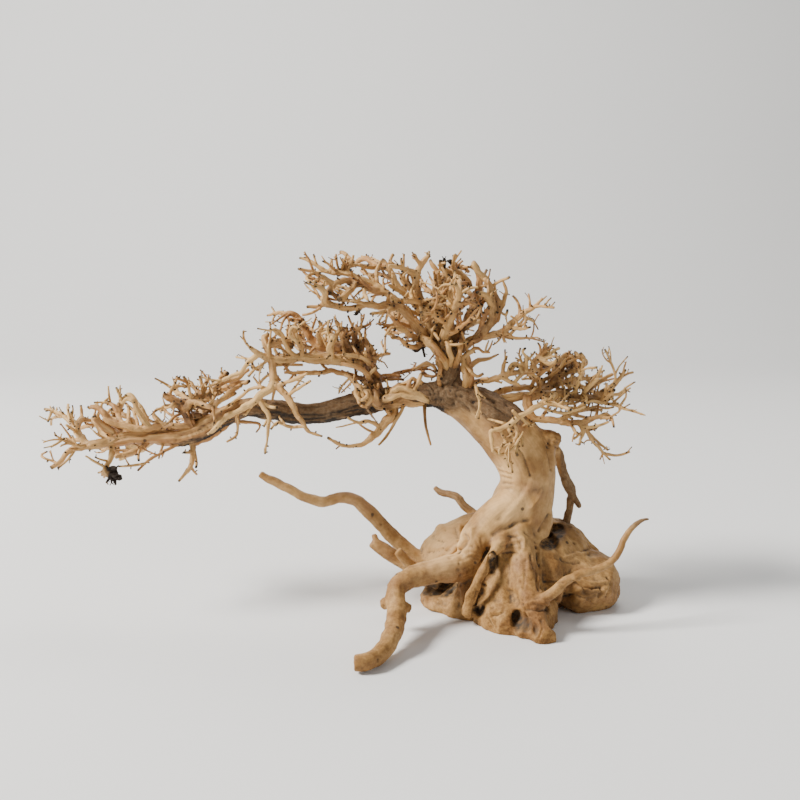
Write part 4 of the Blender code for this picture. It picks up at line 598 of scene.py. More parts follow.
MORE_RIGHT = [
    (-4, (20, 156, 1.3), (24.5, 161, 1.4), (27, 165, 1)),
    (2, (22, 157, 1.2), (28, 161.5, 1.2), (31.5, 163.5, .9)),
    (-6, (1, 148, 1.2), (3, 152, 1.2), (7, 152, 1.2), (9.5, 149, .9)),
    (-6, (12, 145, 1.2), (15, 152, 1.4), (19, 156, 1.2), (24, 158, .9)),
    (-2, (14, 142, 1.3), (20, 147.5, 1.4), (26, 151, 1.2), (31, 156, .9)),
    (2, (20, 142, 1.3), (27, 147, 1.4), (33, 152, 1.2), (36, 157, .9)),
    (-10, (13, 147, .9), (21, 151.5, 1), (28, 154.5, .9)),
    (-10, (4, 143, 1.1), (9, 147, 1.2), (14, 148, 1), (18, 145, .9)),
    (0, (33, 147, 1.2), (35.5, 154.5, 1.2), (39, 158, 1.2), (42.5, 154.5, 1.2), (43.5, 149, 1)),
    (-4, (36, 146, 1.3), (42, 148.5, 1.4), (47, 152.5, 1.6), (47, 157, 1.4), (45, 161, .9)),
    (-8, (35.5, 147, .9), (37.5, 142, .9), (39.5, 137, .8)),
    (-4, (31, 146, .9), (34, 141, .9), (36, 136, .8)),
    (-8, (20, 135, 1.1), (28, 133, 1.2), (36, 131.5, 1), (44, 131, .9), (52, 128, .9)),
    (-4, (24, 129, 1), (32, 127, 1), (40, 126, 1), (48, 125, .9), (56, 124, .8)),
    (-12, (20, 127, .9), (26, 124.5, 1), (34, 122.5, 1), (42, 124, .9), (50, 127, .8)),
    (0, (30, 138, 1.1), (38, 135, 1.2), (46, 131.5, 1), (54, 133, .9), (60, 137, .9)),
    (-6, (44, 128, 1), (52, 130, .9), (60, 129, .9), (64.5, 131, .7)),
    (-2, (50, 125.5, .9), (56, 127, .9), (62, 125.5, .8), (67, 126.5, .6)),
    (4, (26, 131, 1), (34, 129, 1), (42, 129, .9), (49, 132, .9)),
    (-2, (32, 119, 1.2), (38, 121.5, 1.2), (45, 120.5, 1.1), (52, 119, .9)),
    (-4, (34, 124.5, .9), (37, 121, .9), (41, 119, .9)),
    (-6, (50, 117, .9), (55, 119.5, .9), (62, 122, .9), (66, 119.5, .7)),
    (-2, (49.5, 113.5, .9), (53, 112, .9), (56.5, 112.5, .6)),
    (-4, (53, 110, .9), (59, 102.5, .9), (64, 98.8, .6)),
    (-6, (9.5, 118.5, .9), (14, 114.8, .9), (17.5, 115.5, .7)),
]
MORE_KNOT = [
    (-19, (-103, 147, 1.5), (-97.5, 143, 1.8, -12), (-93, 138, 2.2, -17), (-90.5, 131, 2)),
    (-20, (-97, 140, 1.1), (-96, 135, 1.2, -20), (-92, 131, 1.2, -21), (-88.5, 134, 1.2, -21),
          (-91, 138, 1.1)),
    (-20, (-89, 142, 1.6), (-87.5, 136, 1.8, -18), (-87, 130, 1.6, -20), (-91, 125.5, 1)),
    (-19, (-85, 141, 2), (-83, 135, 2.6, -17), (-82.5, 130, 2.4, -19), (-79.5, 127.5, 1.8)),
    (-20, (-92, 139, 1), (-94.5, 133, 1.1, -21), (-93, 128, 1.1, -21), (-88.5, 126.5, .9)),
    (-4, (-100, 144, .8), (-104, 140.5, .7), (-106.5, 135, .5)),
    (-6, (-98, 143, .7), (-102, 138.5, .6), (-105, 135.5, .5)),
]
MORE_FORK = [
    (-30, (-9, 99.5, 1), (-4.5, 95.5, 1), (0, 97, 1), (5, 101, .9), (7.5, 106, .8)),
    (-31, (-8.5, 100, .9), (-3, 101, .8), (3, 103.5, .7)),
    (-29, (5, 115, 1.2), (6.2, 109, 1.1), (5, 104.5, 1), (8, 101, .7)),
    (-30, (-1, 96.5, .8), (0, 92, .7), (1.5, 87.5, .5)),
    (-30, (-2, 104, .8), (-5, 99, .8), (-4.5, 95.5, .7)),
    (-29, (2, 104, .9), (0, 99, .8), (-1, 96.5, .7)),
    (-28, (8, 112, 1), (9.5, 106, .9), (10, 101, .6)),
]
BLACK_STRANDS = [
    (-8, (-32, 211.5, 1.6), (-34.5, 215.5, 2), (-38, 217.3, 1.5)),
    (-4, (-40.5, 213, 1.2), (-41, 216, 1.4), (-40.5, 218.5, 1)),
    (-10, (-92.5, 188.5, 1.5), (-95.5, 185, 1.3)),
    (-6, (-52.5, 163, 1.4), (-56.5, 162.3, 1.4), (-59, 162.6, 1.1)),
    (-6, (-53, 162, .9), (-52.2, 158, .7)),
    (-34, (-254, 86, 1.1), (-251, 87.3, 1.4), (-248.6, 87.6, 1.1)),
    (-31, (-253.5, 85, 1.2), (-250.5, 84.5, 1.5), (-248.4, 85, 1.1)),
    (-38, (-253, 84.5, 1.2), (-250.5, 82, 1.2), (-248.6, 80, .6)),
    (-33, (-252, 84, 1.2), (-251, 81, 1.2), (-250, 77.5, .5)),
    (-40, (-252.5, 84, 1.1), (-252.2, 81, 1), (-252.2, 77.6, .5)),
    (-30, (-253.5, 84, 1), (-253.8, 81.5, .9), (-254.2, 79, .4)),
    (-36, (-251.5, 83.5, 1.1), (-249.5, 82.5, 1), (-247.8, 82.3, .4)),
]
MORE_TIP = [
    (-23, (-199, 114, 1.7), (-207, 114.5, 1.9, -19), (-218, 113.8, 1.9, -20), (-230, 113, 2, -22),
          (-241, 113.3, 2, -23), (-249, 115.5, 1.9, -23), (-256, 119, 1.5)),
    (-20, (-246, 113.5, 1.6), (-251, 118, 2.1), (-255, 122, 2.1), (-259.5, 126.3, 1.7), (-263.5, 127.2, 1)),
    (-17, (-248, 112, 1.5), (-254, 114.8, 1.8), (-259, 117.2, 2), (-261.5, 120.5, 1.6)),
    (-24, (-257, 117, 1), (-259.5, 120.5, 1.1), (-258.5, 123.5, .8)),
    (-21, (-253, 119.5, 1), (-252.5, 123, 1.1), (-249.5, 125.5, .8)),
    (-24, (-226, 113, 1.8), (-230.5, 119, 2.2), (-234.5, 125, 2), (-236.5, 130, 1.8), (-240.5, 131.5, 1.5),
          (-244, 128, .9)),
    (-10, (-247, 106, 2.2), (-252.5, 107, 2.4), (-256.5, 110, 2.4), (-259.5, 114, 2.2), (-262.5, 120, 1.3)),
    (-6, (-249.5, 103, 1.4), (-249.6, 100.5, 1.4), (-248.5, 97.3, 1.5), (-245.3, 95.9, 1.5),
         (-241, 97, 1.7), (-238, 100, 1.8)),
    (-8, (-222, 107, 2.8), (-230, 104.5, 3.4), (-237, 103, 3.2), (-241, 100, 2.2)),
    (-2, (-224, 104, 2.6), (-232, 100.5, 2.6), (-240, 96, 1.9), (-247, 92.8, 1)),
    (-4, (-243, 112, 1.6), (-245, 118, 1.9), (-246.3, 124, 1.8), (-245.5, 129, 1.1)),
    (-8, (-246, 121, 1.4), (-248, 126, 1.5), (-251.5, 129.3, .8)),
    (0, (-247, 113, 1.8), (-248, 119, 1.9), (-250, 124, 1.2)),
    (-4, (-234, 116, 1.1), (-236, 123, 1.1), (-239, 126, 1.1), (-241, 129, .9)),
    (-4, (-240, 113, 1.3), (-240.5, 118, 1.3), (-239, 123, 1.2), (-240, 127, .9)),
    (-4, (-255, 88, 1.3), (-257, 85, 1.5), (-258.3, 82, .8)),
    (0, (-255.5, 87, 1.1), (-258, 85, .9), (-260.5, 84, .6)),
    (-8, (-255, 87, 1.2), (-256, 83.5, 1.2), (-256.5, 81, .7)),
    (-6, (-193, 133, 1.8), (-196.5, 138.5, 1.5), (-200, 142.8, .9)),
    (-2, (-193, 134, 1.9), (-191, 139, 1.7), (-188.5, 145, 1.2)),
    (-8, (-210, 130.5, 2), (-201, 129, 2.4), (-192, 127, 2.4), (-186, 125, 1.9)),
    (-4, (-190, 134, 1.7), (-181, 141, 1.9), (-171, 145, 1.8), (-163, 150, 1.3)),
    (-8, (-186, 132, 1.7), (-178, 138, 2), (-170, 141.5, 1.9), (-163, 143, 1.3)),
    (-2, (-184, 130, 1.5), (-175, 136, 1.7), (-168, 140.5, 1.4)),
    (-12, (-189, 125, 1.4), (-184, 129, 1.4), (-177, 132, 1.2), (-171, 135.5, .8)),
    (-10, (-180, 144, 1.4), (-178.5, 147, 2.2), (-176, 147.5, 1.6)),
    (-6, (-205, 108, 3), (-198, 104.8, 3.6), (-191, 108, 3.6), (-183, 112.5, 2.9), (-176, 117, 2)),
    (-4, (-197, 124, 1.6), (-190, 123.5, 1.6), (-184, 126.5, 1.2)),
    (-10, (-203, 120, 2), (-196, 121, 2.2), (-190, 119, 1.8)),
    (-4, (-216, 122.5, .9), (-210, 118, .8), (-206, 114.5, .6)),
    (2, (-218, 115, 1.1), (-224, 120.5, .9), (-221.5, 125.5, .7)),
    (-2, (-216.5, 115.5, 1.2), (-212, 119, 1.1), (-207, 121.5, .9)),
    (-8, (-209, 108, .9), (-206.5, 104.5, .8), (-205, 101.5, .6)),
    (0, (-170, 121, .9), (-177, 115, .8), (-184, 108.5, .5)),
    (-6, (-160, 121, 1.4), (-157.5, 116, 1), (-159.5, 110, .6)),
]

# Dents that time and rot have left, pressed in from the front: across, up, half width, half
# height, depth, and the foremost place that they reach, so that roots in front are spared.
FRONT_DENTS = [
    (-7.5, 24, 3.4, 8.5, 15, -60), (-16, -7, 4.2, 4.6, 9, -60), (9, -14.5, 4, 7.5, 13, -90),
    (14, -17, 5, 6, 5, -90), (34, 45.5, 5.2, 5.6, 15, -40), (28, 36.5, 6, 4, 15, -40),
    (31.5, 41, 3.6, 6.5, 15, -40), (55, 28, 1.9, 1.9, 4, -40), (56.5, 26, 1.2, 1.4, 3, -40),
    (56, 4, 7.5, 3.6, 3, -40), (-41, 7, 20, 6.2, 15, -27), (-27, 4, 7, 5, 9, -27),
    (2, 108, 1.3, 2.6, 3, -40), (-4, 114, 1.6, 1.6, 2, -40), (-5, 104, 1.2, 1, 1.6, -40),
    (-2, 104, 1.1, .8, 1.4, -40), (-24, 50.5, 1.6, 1.6, 3, -40), (-5, -1, 4, 1.5, 1.6, -60),
    (4, -1.5, 3.5, 1.4, 1.6, -60), (-40, -3, 5, 3, 2.5, -27), (-34, 2, 3, 4, 2.5, -27),
    (21, -21, 1.8, 4.5, 4, -90), (38, -10.5, 4.5, 1.6, 3, -60), (27.5, -7.5, 2, 3, 4, -60),
]

# Folds, cracks and crests of the front: height (negative for a groove) and half width in
# millimetres, then the places, across and up, that it runs through.
FRONT_FOLDS = [
    (-1.9, 1.1, (7, 99.5), (10, 96), (12, 91), (14, 85), (15, 82)),
    (-1.8, 1.3, (27, 105), (25.8, 101), (26.5, 97), (28, 92), (28.6, 86)),
    (1.6, 1.8, (30, 105), (28.8, 100), (29.6, 95), (31, 90)),
    (.6, .9, (-8, 87.5), (-2, 86.2), (3, 84.4)), (-.4, .8, (-8, 86), (-2, 84.6), (3, 83)),
    (.6, .8, (-8, 84), (-2, 82.9), (2, 81.6)), (-.4, .8, (-8, 82.2), (-2, 81.3), (3, 80.4)),
    (.7, .9, (-8, 80.2), (-1, 79.2), (4, 78.4)), (-.4, .8, (-8, 78.3), (-1, 77.6), (4, 76.8)),
    (.6, .9, (-8, 76.2), (0, 75.8), (4, 75.4)), (-.3, .9, (-8, 74), (0, 74), (3, 73.6)),
    (-.6, 2.4, (13, 76), (8, 69), (2, 61), (-5, 54)), (.6, 2.4, (16, 77), (11, 70), (5, 62), (-1, 55)),
    (-.5, 2.2, (18, 73), (14, 65), (9, 58), (4, 53)), (1.2, 1, (22.5, 73), (20.5, 67), (16, 61)),
    (.5, 2.6, (8, 80), (4, 74), (-1, 68), (-6, 62)), (-.4, 2, (24, 86), (25, 76), (24, 66), (20, 58)),
    (-1.6, 1.2, (21.5, 46), (24, 51), (27.5, 57)), (1.4, 1.8, (26, 47), (28, 52), (30.5, 58)),
    (-1.2, 2.2, (-8, 44), (-1, 47), (6, 50.5), (14, 53)), (1, 2.4, (-6, 49.5), (1, 52), (8, 56)),
    (-2.2, 1.6, (-27, 48), (-26.5, 44.5), (-24, 41), (-25.5, 37.5), (-31, 32), (-36, 28.5)),
    (1.6, 2, (-30, 50), (-29.5, 45), (-28, 40), (-31, 36)), (1.2, 1.6, (-22, 47), (-22, 42), (-23, 37)),
    (-.9, .9, (-12, 30.5), (-15, 36), (-16, 41)), (-.9, .9, (-12.5, 30.5), (-17, 35), (-19, 39)),
    (-.9, .9, (-13, 30), (-18, 33), (-22, 36)), (-.8, .9, (-13, 29), (-19, 31), (-24, 32.5)),
    (-2.4, 1.8, (-11, 33), (-12, 29.5), (-14.5, 26)), (-.7, 1, (-45, 40), (-38, 38.5), (-32, 37)),
    (-.8, 1.2, (-49, 32), (-42, 33), (-36, 33)), (-1, 1.1, (-3, 36), (3, 36.5), (9, 38)),
    (1.1, 1.1, (-3, 38.5), (3, 39), (9, 40.5)), (-1.3, .9, (-2, 31), (3, 31.8), (8, 31.2)),
    (1, 1, (-1, 33.6), (5, 34), (12, 33)), (-1, 1, (2, 42.5), (7, 42), (10, 38), (9.5, 33)),
    (1, 1, (8, 44.5), (12, 41), (12.4, 35)), (-1.1, 1, (12, 45), (16, 42), (19, 38)),
    (-1.6, 1, (16, 30), (16.6, 25), (19, 21)), (1.2, 1.4, (22, 33), (22.5, 24), (22.6, 14), (24.5, 5)),
    (-1.4, 1, (20.5, 31), (20.6, 22), (20.8, 12), (22, 6)), (-1, 1.2, (13, 26), (13, 17), (12, 8)),
    (.9, 1.8, (4, 27), (5, 18), (4, 8)), (-2, 1, (-15, 11), (-12, 9.2)),
    (-1.8, .9, (-7.5, -11), (-4, -10.4), (-1, -8.8)),
    (-2.4, 1.2, (-18, 5), (-19, -2), (-20.5, -10), (-21, -14)),
    (-1.8, 1.1, (26, 12), (33, 12.6), (38, 11.4)), (-2.4, 1.1, (44, 12), (48, 10.6), (51, 9.2), (57, 7.8)),
    (-2.6, 1.2, (57, 7.8), (62, 8.8), (63.5, 5), (61, 1.5)),
    (1.6, 1.4, (45, 14.6), (52, 12), (60, 11.2), (67, 12)),
    (-1.5, 1.2, (51, 8), (51.5, 4), (56, 2.6), (61, 3.6)),
    (-1.5, 1.4, (38, 1.5), (44, 3.4), (49, 1.6), (56, -1)),
    (-1.2, 1, (66, 15), (69, 11.5), (68, 6), (66, 1)), (-1.3, .9, (33, .5), (35, -3), (38, -5.5)),
    (1.2, 1.2, (38, 28), (46, 31), (53, 31.5)), (-1.2, 1.1, (49, 32), (54, 34.4)),
    (-1.1, 1.4, (33, 28), (40, 25), (48, 24.5)), (-1.6, 1, (12, -3), (14, -6.5), (21, -7.5), (27, -7)),
    (1.6, 1.6, (12, -5), (17, -2), (24, -1), (28, -3)), (-1.4, .9, (13, -9), (16, -14), (15, -20)),
    (1.3, 1.1, (15, -9), (18, -14), (18, -20)), (-1.3, 1, (24, -14), (25, -20), (23, -26)),
    (-1, 1.2, (-50, -1), (-44, -5), (-37, -9)), (1, 1.4, (-54, 2), (-47, -2.5), (-39, -6)),
    (-1, 1.2, (-30, 6), (-29, 0), (-31, -7)), (.9, 1.2, (-10, -5), (-9, -11), (-7, -16)),
]
# How much of those heights the weather has left.
FOLD_SHARE = .75
# Which of the bough's own stems are orange wood that lies over it.
FORK_WOOD = slice(3, 6)
# How many small rot holes there are.
PIT_COUNT = 110
# Where the wood is painted palest, as painted light on the lit faces and bleached wood: across and up of the
# middle, and how far it reaches.
LIT_AND_BLEACHED = ((-41, 38, 23), (2, 62, 16), (-2, 84, 13))
# Flat faces that the burl's right end has split along: a real place on each, and where it faces.
SPLIT_FACES = (((57, -18, 26), (.25, -.62, .74)), ((69, -14, 14), (.86, -.50, .10)),
               ((56, -25, 8), (.30, -.80, -.50)))
# The torn end of the stump on the trunk's shoulder: across, up, and how far it reaches.
TORN_STUMP = (31, 106, 8)

# Where rough grey bark is still on the wood: across and up of the line below it.
BARK_LINE = ((-300, 60), (-60, 118), (-30, 124), (-16, 119), (-6, 114.5), (4, 113), (12, 117), (24, 130))

# How finely a stem's centre line is laid out, in metres: trunk and flares, roots and bough, limbs.
TRUNK_STEP = 0.005
ROOT_STEP = 0.0025
LIMB_STEP = 0.0013
# How far stems wander from their planned line, as a share of their radius.
ROOT_GNARL = 0.5
LIMB_GNARL = 0.6
# How many slow crooks, quick crooks and swellings the wood has in a metre.
SLOW_CROOKS = 120.0
QUICK_CROOKS = 330.0
SWELLINGS = 280.0
# Any number but 0, which would give the wood other crooks at every run.
CROOK_SEED = 5
TWIG_SEED = 7
PIT_SEED = 11
# Wood thicker than this grows straighter and more evenly.
THICK_WOOD = 1.6 * MM

# Side twigs, by kind: the least and most length, then radius, in millimetres.
TWIG_SIZES = ((5, 16), (0.75, 1.45))
FINE_SIZES = ((2, 6), (0.4, 0.65))
KNOB_SIZES = ((0.8, 1.8), (0.6, 1.0))
SPIKE_SIZES = ((0.6, 1.8), (0.35, 0.6))
# How much further apart fine twiglets stand than side twigs, and the distance of knobs and spikes.
FINE_SPREAD = 2.8
KNOB_SPACING = 9.0
SPIKE_SPACING = 1.3
# The angles, in radians, that twigs and knobs leave their stem at.
TWIG_SLANTS = (0.5, 1.1)
KNOB_SLANTS = (1.2, 1.5)
# How far past its solid's box a limb's twigs may reach, and how far inside the whole object's.
TWIG_ROOM = 3.0 * MM
BOX_EDGE = 1.0 * MM

# How far the dark of a broken end runs down its twig.
TIP_LENGTH = 2.4 * MM
# Darkness of a strand that is black from end to end, and of the stems with a black end.
ALL_DARK = 9.0
BLACK_END = 4.0
# Wood closer than this counts as crowding; the twigs get painted shade by it.
CROWD_REACH = 0.008
# How far a stem's grain can matter, and what is known of the grain at each point.
REACH_OF_WOOD = 0.02
FLOW_KEYS = ("side", "front", "along", "radius", "tip", "shade", "crowding")
# The axes along which the skin's facing is asked for: to the front and to the ground.
FRONT = 1
DOWN = 2

TAN_LIGHT = (0.53, 0.320, 0.122, 1)
# Painted light, with bleached wood, on the lit faces.
TAN_LIT_AND_BLEACHED = (0.76, 0.48, 0.205, 1)
TAN_OCHRE = (0.32, 0.165, 0.048, 1)
TAN_PINK = (0.36, 0.190, 0.085, 1)
BARK_BROWN = (0.15, 0.085, 0.040, 1)
BARK_GREY = (0.225, 0.148, 0.080, 1)
# Black of charred cracks, and the painted shade under the bough.
CHAR_AND_SHADE = (0.022, 0.016, 0.012, 1)
# Dirt, and the shade that falls in hollows, painted into the colour.
DIRT_AND_SHADE = (0.05, 0.035, 0.021, 1)
BLACK_KNOT = (0.014, 0.010, 0.008, 1)
TWIG_ORANGE = (0.41, 0.200, 0.066, 1)
TWIG_TAN = (0.57, 0.34, 0.128, 1)
TWIG_CREAM = (0.68, 0.445, 0.175, 1)
# Painted shade, with some brown bark, in the thick of the pads.
TWIG_SHADE_BROWN = (0.115, 0.055, 0.024, 1)
TWIG_TIP = (0.020, 0.013, 0.008, 1)
# Tints that a colour is multiplied by, dim and bright.
MOTTLE_DIM = (0.70, 0.66, 0.60, 1)
MOTTLE_BRIGHT = (1.12, 1.12, 1.12, 1)
# Darkens the low wood and paints shade on the burl's front.
STAIN_AND_SHADE_TINT = (0.64, 0.57, 0.44, 1)
GRIME_DIM = (0.66, 0.58, 0.46, 1)
GRIME_BRIGHT = (1.10, 1.10, 1.10, 1)
FIBRE_DIM = (0.70, 0.64, 0.58, 1)
FIBRE_BRIGHT = (1.06, 1.05, 1.04, 1)
TWIG_FIBRE_DIM = (0.62, 0.54, 0.47, 1)
TWIG_FIBRE_BRIGHT = (1.08, 1.06, 1.04, 1)
PATTERN_SOCKETS = (("INPUT", "NodeSocketVector", ("Grain", "Place")),
                   ("INPUT", "NodeSocketFloat", ("Fibre Width", "Patch Size", "Speck Spacing")),
                   ("OUTPUT", "NodeSocketFloat", ("Fibre", "Patch", "Speck", "Relief")))

FLOOR_GAP = 0.0002
LIT_PLACE = (-0.09, 0.0, 0.1)
# The camera's lens and film width in millimetres, and its tilt in degrees.
FOCAL_LENGTH = 40.5
SENSOR_WIDTH = 36.0
LOOKING_DOWN = 7.5


def seen_at(across, up, back):
    """The real place, in metres, of what is seen at across and up, that far back."""
    on_plane = Vector((across, 0.0, up))
    return (EYE + (on_plane - EYE) * scale_at(back)) * MM


def scale_at(back):
    """How much larger a thing is than it looks against the upright plane."""
    return 1.0 - back / EYE.y


def grow_stems(plan, parent_stems):
    """Give every planned stem its depth; each starts on the nearest wood that is there before it."""
    stems = []
    for tip_back, *points in plan:
        older = stems if stems else parent_stems
        start = nearest_on(older, points[0])
        route = [list(start[:3]) + [points[0][2]]]
        for point in points[1:]:
            own_back = point[3] if len(point) > 3 else None
            route.append([point[0], point[1], own_back, point[2]])
        if tip_back is JOINS:
            end = nearest_on(older, points[-1])
            route[-1][:3] = end[:3]
        elif route[-1][2] is None:
            route[-1][2] = tip_back
        fill_depths(route)
        stems.append([tuple(point) for point in route])
    return stems


def nearest_on(stems, point):
    """The point of the stems' centre lines that is seen nearest to a planned one."""
    target = Vector(point[:2])
    best_distance = None
    best_spot = None
    for stem in stems:
        for start, end in zip(stem, stem[1:]):
            along = Vector(end[:2]) - Vector(start[:2])
            share = (target - Vector(start[:2])).dot(along) / max(along.length_squared, 0.01)
            share = min(max(share, 0.0), 1.0)
            spot = [a + (b - a) * share for a, b in zip(start, end)]
            distance = (Vector(spot[:2]) - target).length
            if best_distance is None or distance < best_distance:
                best_distance = distance
                best_spot = spot
    return best_spot


def fill_depths(route):
    """Let the depth run evenly between the points of a route that have one."""
    known = [index for index, point in enumerate(route) if point[2] is not None]
    for first, last in zip(known, known[1:]):
        spans = [(Vector(route[i + 1][:2]) - Vector(route[i][:2])).length for i in range(first, last)]
        gone = 0.0
        for index in range(first + 1, last):
            gone += spans[index - 1 - first]
            share = gone / sum(spans)
            route[index][2] = route[first][2] + (route[last][2] - route[first][2]) * share


class Route:
    """A stem's centre line: real places and radii in metres, and how its wood looks."""

    def __init__(self, places, radii, shade=0.4, dark_tip=0.0):
        self.places = places
        self.radii = radii
        self.shade = shade
        self.dark_tip = dark_tip
        self.crowding = [0.0] * len(places)
        self.travelled = [0.0]
        for start, end in zip(places, places[1:]):
            self.travelled.append(self.travelled[-1] + (end - start).length)
        self.length = self.travelled[-1]

    def at(self, share):
        """Place, direction and radius at a share of the points from the foot to the tip."""
        spot = share * (len(self.places) - 1)
        index = min(int(spot), len(self.places) - 2)
        rest = spot - index
        place = self.places[index].lerp(self.places[index + 1], rest)
        direction = (self.places[index + 1] - self.places[index]).normalized()
        radius = self.radii[index] + (self.radii[index + 1] - self.radii[index]) * rest
        return place, direction, radius

    def tip_at(self, travelled):
        """How dark the broken end is that far along, from 0 to 1."""
        return np.clip(self.dark_tip - (self.length - travelled) / TIP_LENGTH, 0.0, 1.0)


def route_along(places, radii, spacing, gnarl=0.0, seed=0.0):
    """A smooth route through planned places, with the small crooks of grown wood."""
    smooth_places = [places[0].copy()]
    smooth_radii = [radii[0]]
    last = len(places) - 1
    for index in range(last):
        before = places[max(index - 1, 0)]
        start = places[index]
        end = places[index + 1]
        after = places[min(index + 2, last)]
        steps = max(1, round((end - start).length / spacing))
        for step in range(1, steps + 1):
            share = step / steps
            smooth_places.append(curve_through(before, start, end, after, share))
            smooth_radii.append(radii[index] + (radii[index + 1] - radii[index]) * share)
    for index in range(1, len(smooth_places)):
        place = smooth_places[index]
        reach = min(1.0, index / 3)
        slow = noise.noise_vector(place * SLOW_CROOKS + Vector((seed, 0, 0)))
        quick = noise.noise_vector(place * QUICK_CROOKS + Vector((seed, 0, 0)))
        slim = min(1.0, THICK_WOOD / smooth_radii[index])
        swell = 1.0 + 0.20 * slim * noise.noise(place * SWELLINGS + Vector((0, seed, 0)))
        smooth_places[index] = place + (slow + quick * 0.4) * (gnarl * slim * smooth_radii[index] * reach)
        smooth_radii[index] *= swell
    return Route(smooth_places, smooth_radii)


def curve_through(before, start, end, after, share):
    """A point of the smooth curve between start and end."""
    one = (end - before) * 0.5
    two = (after - start) * 0.5
    square = share * share
    cube = square * share
    return (start * (2 * cube - 3 * square + 1) + one * (cube - 2 * square + share)
            + end * (3 * square - 2 * cube) + two * (cube - square))


def stem_route(stem, spacing, gnarl=0.0, seed=0.0):
    """The real route of a stem with known depths."""
    places = [seen_at(across, up, back) for across, up, back, _ in stem]
    radii = [radius * scale_at(back) * MM for _, _, back, radius in stem]
    return route_along(places, radii, spacing, gnarl, seed)


def wood_layers(work):
    """The values that every bit of wood carries for its material."""
    floats = work.verts.layers.float
    vectors = work.verts.layers.float_vector
    layers = {name: floats.get(name) or floats.new(name) for name in ("tip", "shade", "crowding")}
    layers["grain"] = vectors.get("grain") or vectors.new("grain")
    return layers


def mark_ring(ring, layers, route, index, frame_turn):
    """Note on a ring's points where they lie in the grain, and how the wood looks there."""
    back = frame_turn.inverted()
    travelled = route.travelled[index]
    tip = route.tip_at(travelled)
    for point in ring:
        offset = back @ (point.co - route.places[index])
        point[layers["grain"]] = (offset.x, offset.y, travelled + route.shade)
        point[layers["tip"]] = tip
        point[layers["shade"]] = route.shade
        point[layers["crowding"]] = route.crowding[index]


def tube(route, sides, flare):
    """A closed tapered tube along a route: one ring, extruded from place to place."""
    work = bmesh.new()
    layers = wood_layers(work)
    places = route.places
    radii = list(route.radii)
    radii[0] *= flare
    direction = (places[1] - places[0]).normalized()
    turn = direction.to_track_quat("Z", "Y").to_matrix()
    ring = bmesh.ops.create_circle(work, cap_ends=True, segments=sides, radius=radii[0],
                                   matrix=Matrix.Translation(places[0]) @ turn.to_4x4())["verts"]
    mark_ring(ring, layers, route, 0, turn)
    end_face = ring[0].link_faces[0]
    for index in range(1, len(places)):
        onward = places[min(index + 1, len(places) - 1)] - places[index - 1]
        next_direction = onward.normalized()
        bend = direction.rotation_difference(next_direction).to_matrix()
        grown = bmesh.ops.extrude_face_region(work, geom=[end_face])["geom"]
        end_face = next(part for part in grown if isinstance(part, bmesh.types.BMFace))
        move = (Matrix.Translation(places[index]) @ bend.to_4x4()
                @ Matrix.Scale(radii[index] / radii[index - 1], 4) @ Matrix.Translation(-places[index - 1]))
        bmesh.ops.transform(work, matrix=move, verts=end_face.verts[:])
        turn = bend @ turn
        mark_ring(end_face.verts, layers, route, index, turn)
        direction = next_direction
    return finished_mesh(work, "tube")


def tubes(routes, sides, flare=1.0):
    return joined("tubes", [tube(route, sides, flare) for route in routes])


def lump(centre, half_sizes):
    """An ellipsoid at a real place, in millimetres."""
    work = bmesh.new()
    ball = bmesh.ops.create_icosphere(work, subdivisions=4, radius=MM)["verts"]
    bmesh.ops.scale(work, vec=half_sizes, verts=ball)
    bmesh.ops.translate(work, vec=Vector(centre) * MM, verts=ball)
    return finished_mesh(work, "lump")


def finished_mesh(work, name):
    bmesh.ops.recalc_face_normals(work, faces=work.faces[:])
    mesh = bpy.data.meshes.new(name)
    work.to_mesh(mesh)
    work.free()
    return mesh


def placed(name, data):
    """A new object with that data, in the scene."""
    thing = bpy.data.objects.new(name, data)
    bpy.context.scene.collection.objects.link(thing)
    return thing


def with_modifier(mesh, kind, **settings):
    """The mesh that one modifier makes of this one."""
    holder = placed("holder", mesh)
    change = holder.modifiers.new("change", kind)
    for key, value in settings.items():
        setattr(change, key, value)
    graph = bpy.context.evaluated_depsgraph_get()
    graph.update()
    result = bpy.data.meshes.new_from_object(holder.evaluated_get(graph))
    bpy.data.objects.remove(holder, do_unlink=True)
    return result


def fused(mesh, voxel):
    """One outer skin around everything in the mesh."""
    return with_modifier(mesh, "REMESH", mode="VOXEL", voxel_size=voxel * MM)


def thinned(mesh, share):
    """The same skin with fewer faces where it is smooth."""
    return with_modifier(mesh, "DECIMATE", ratio=share)


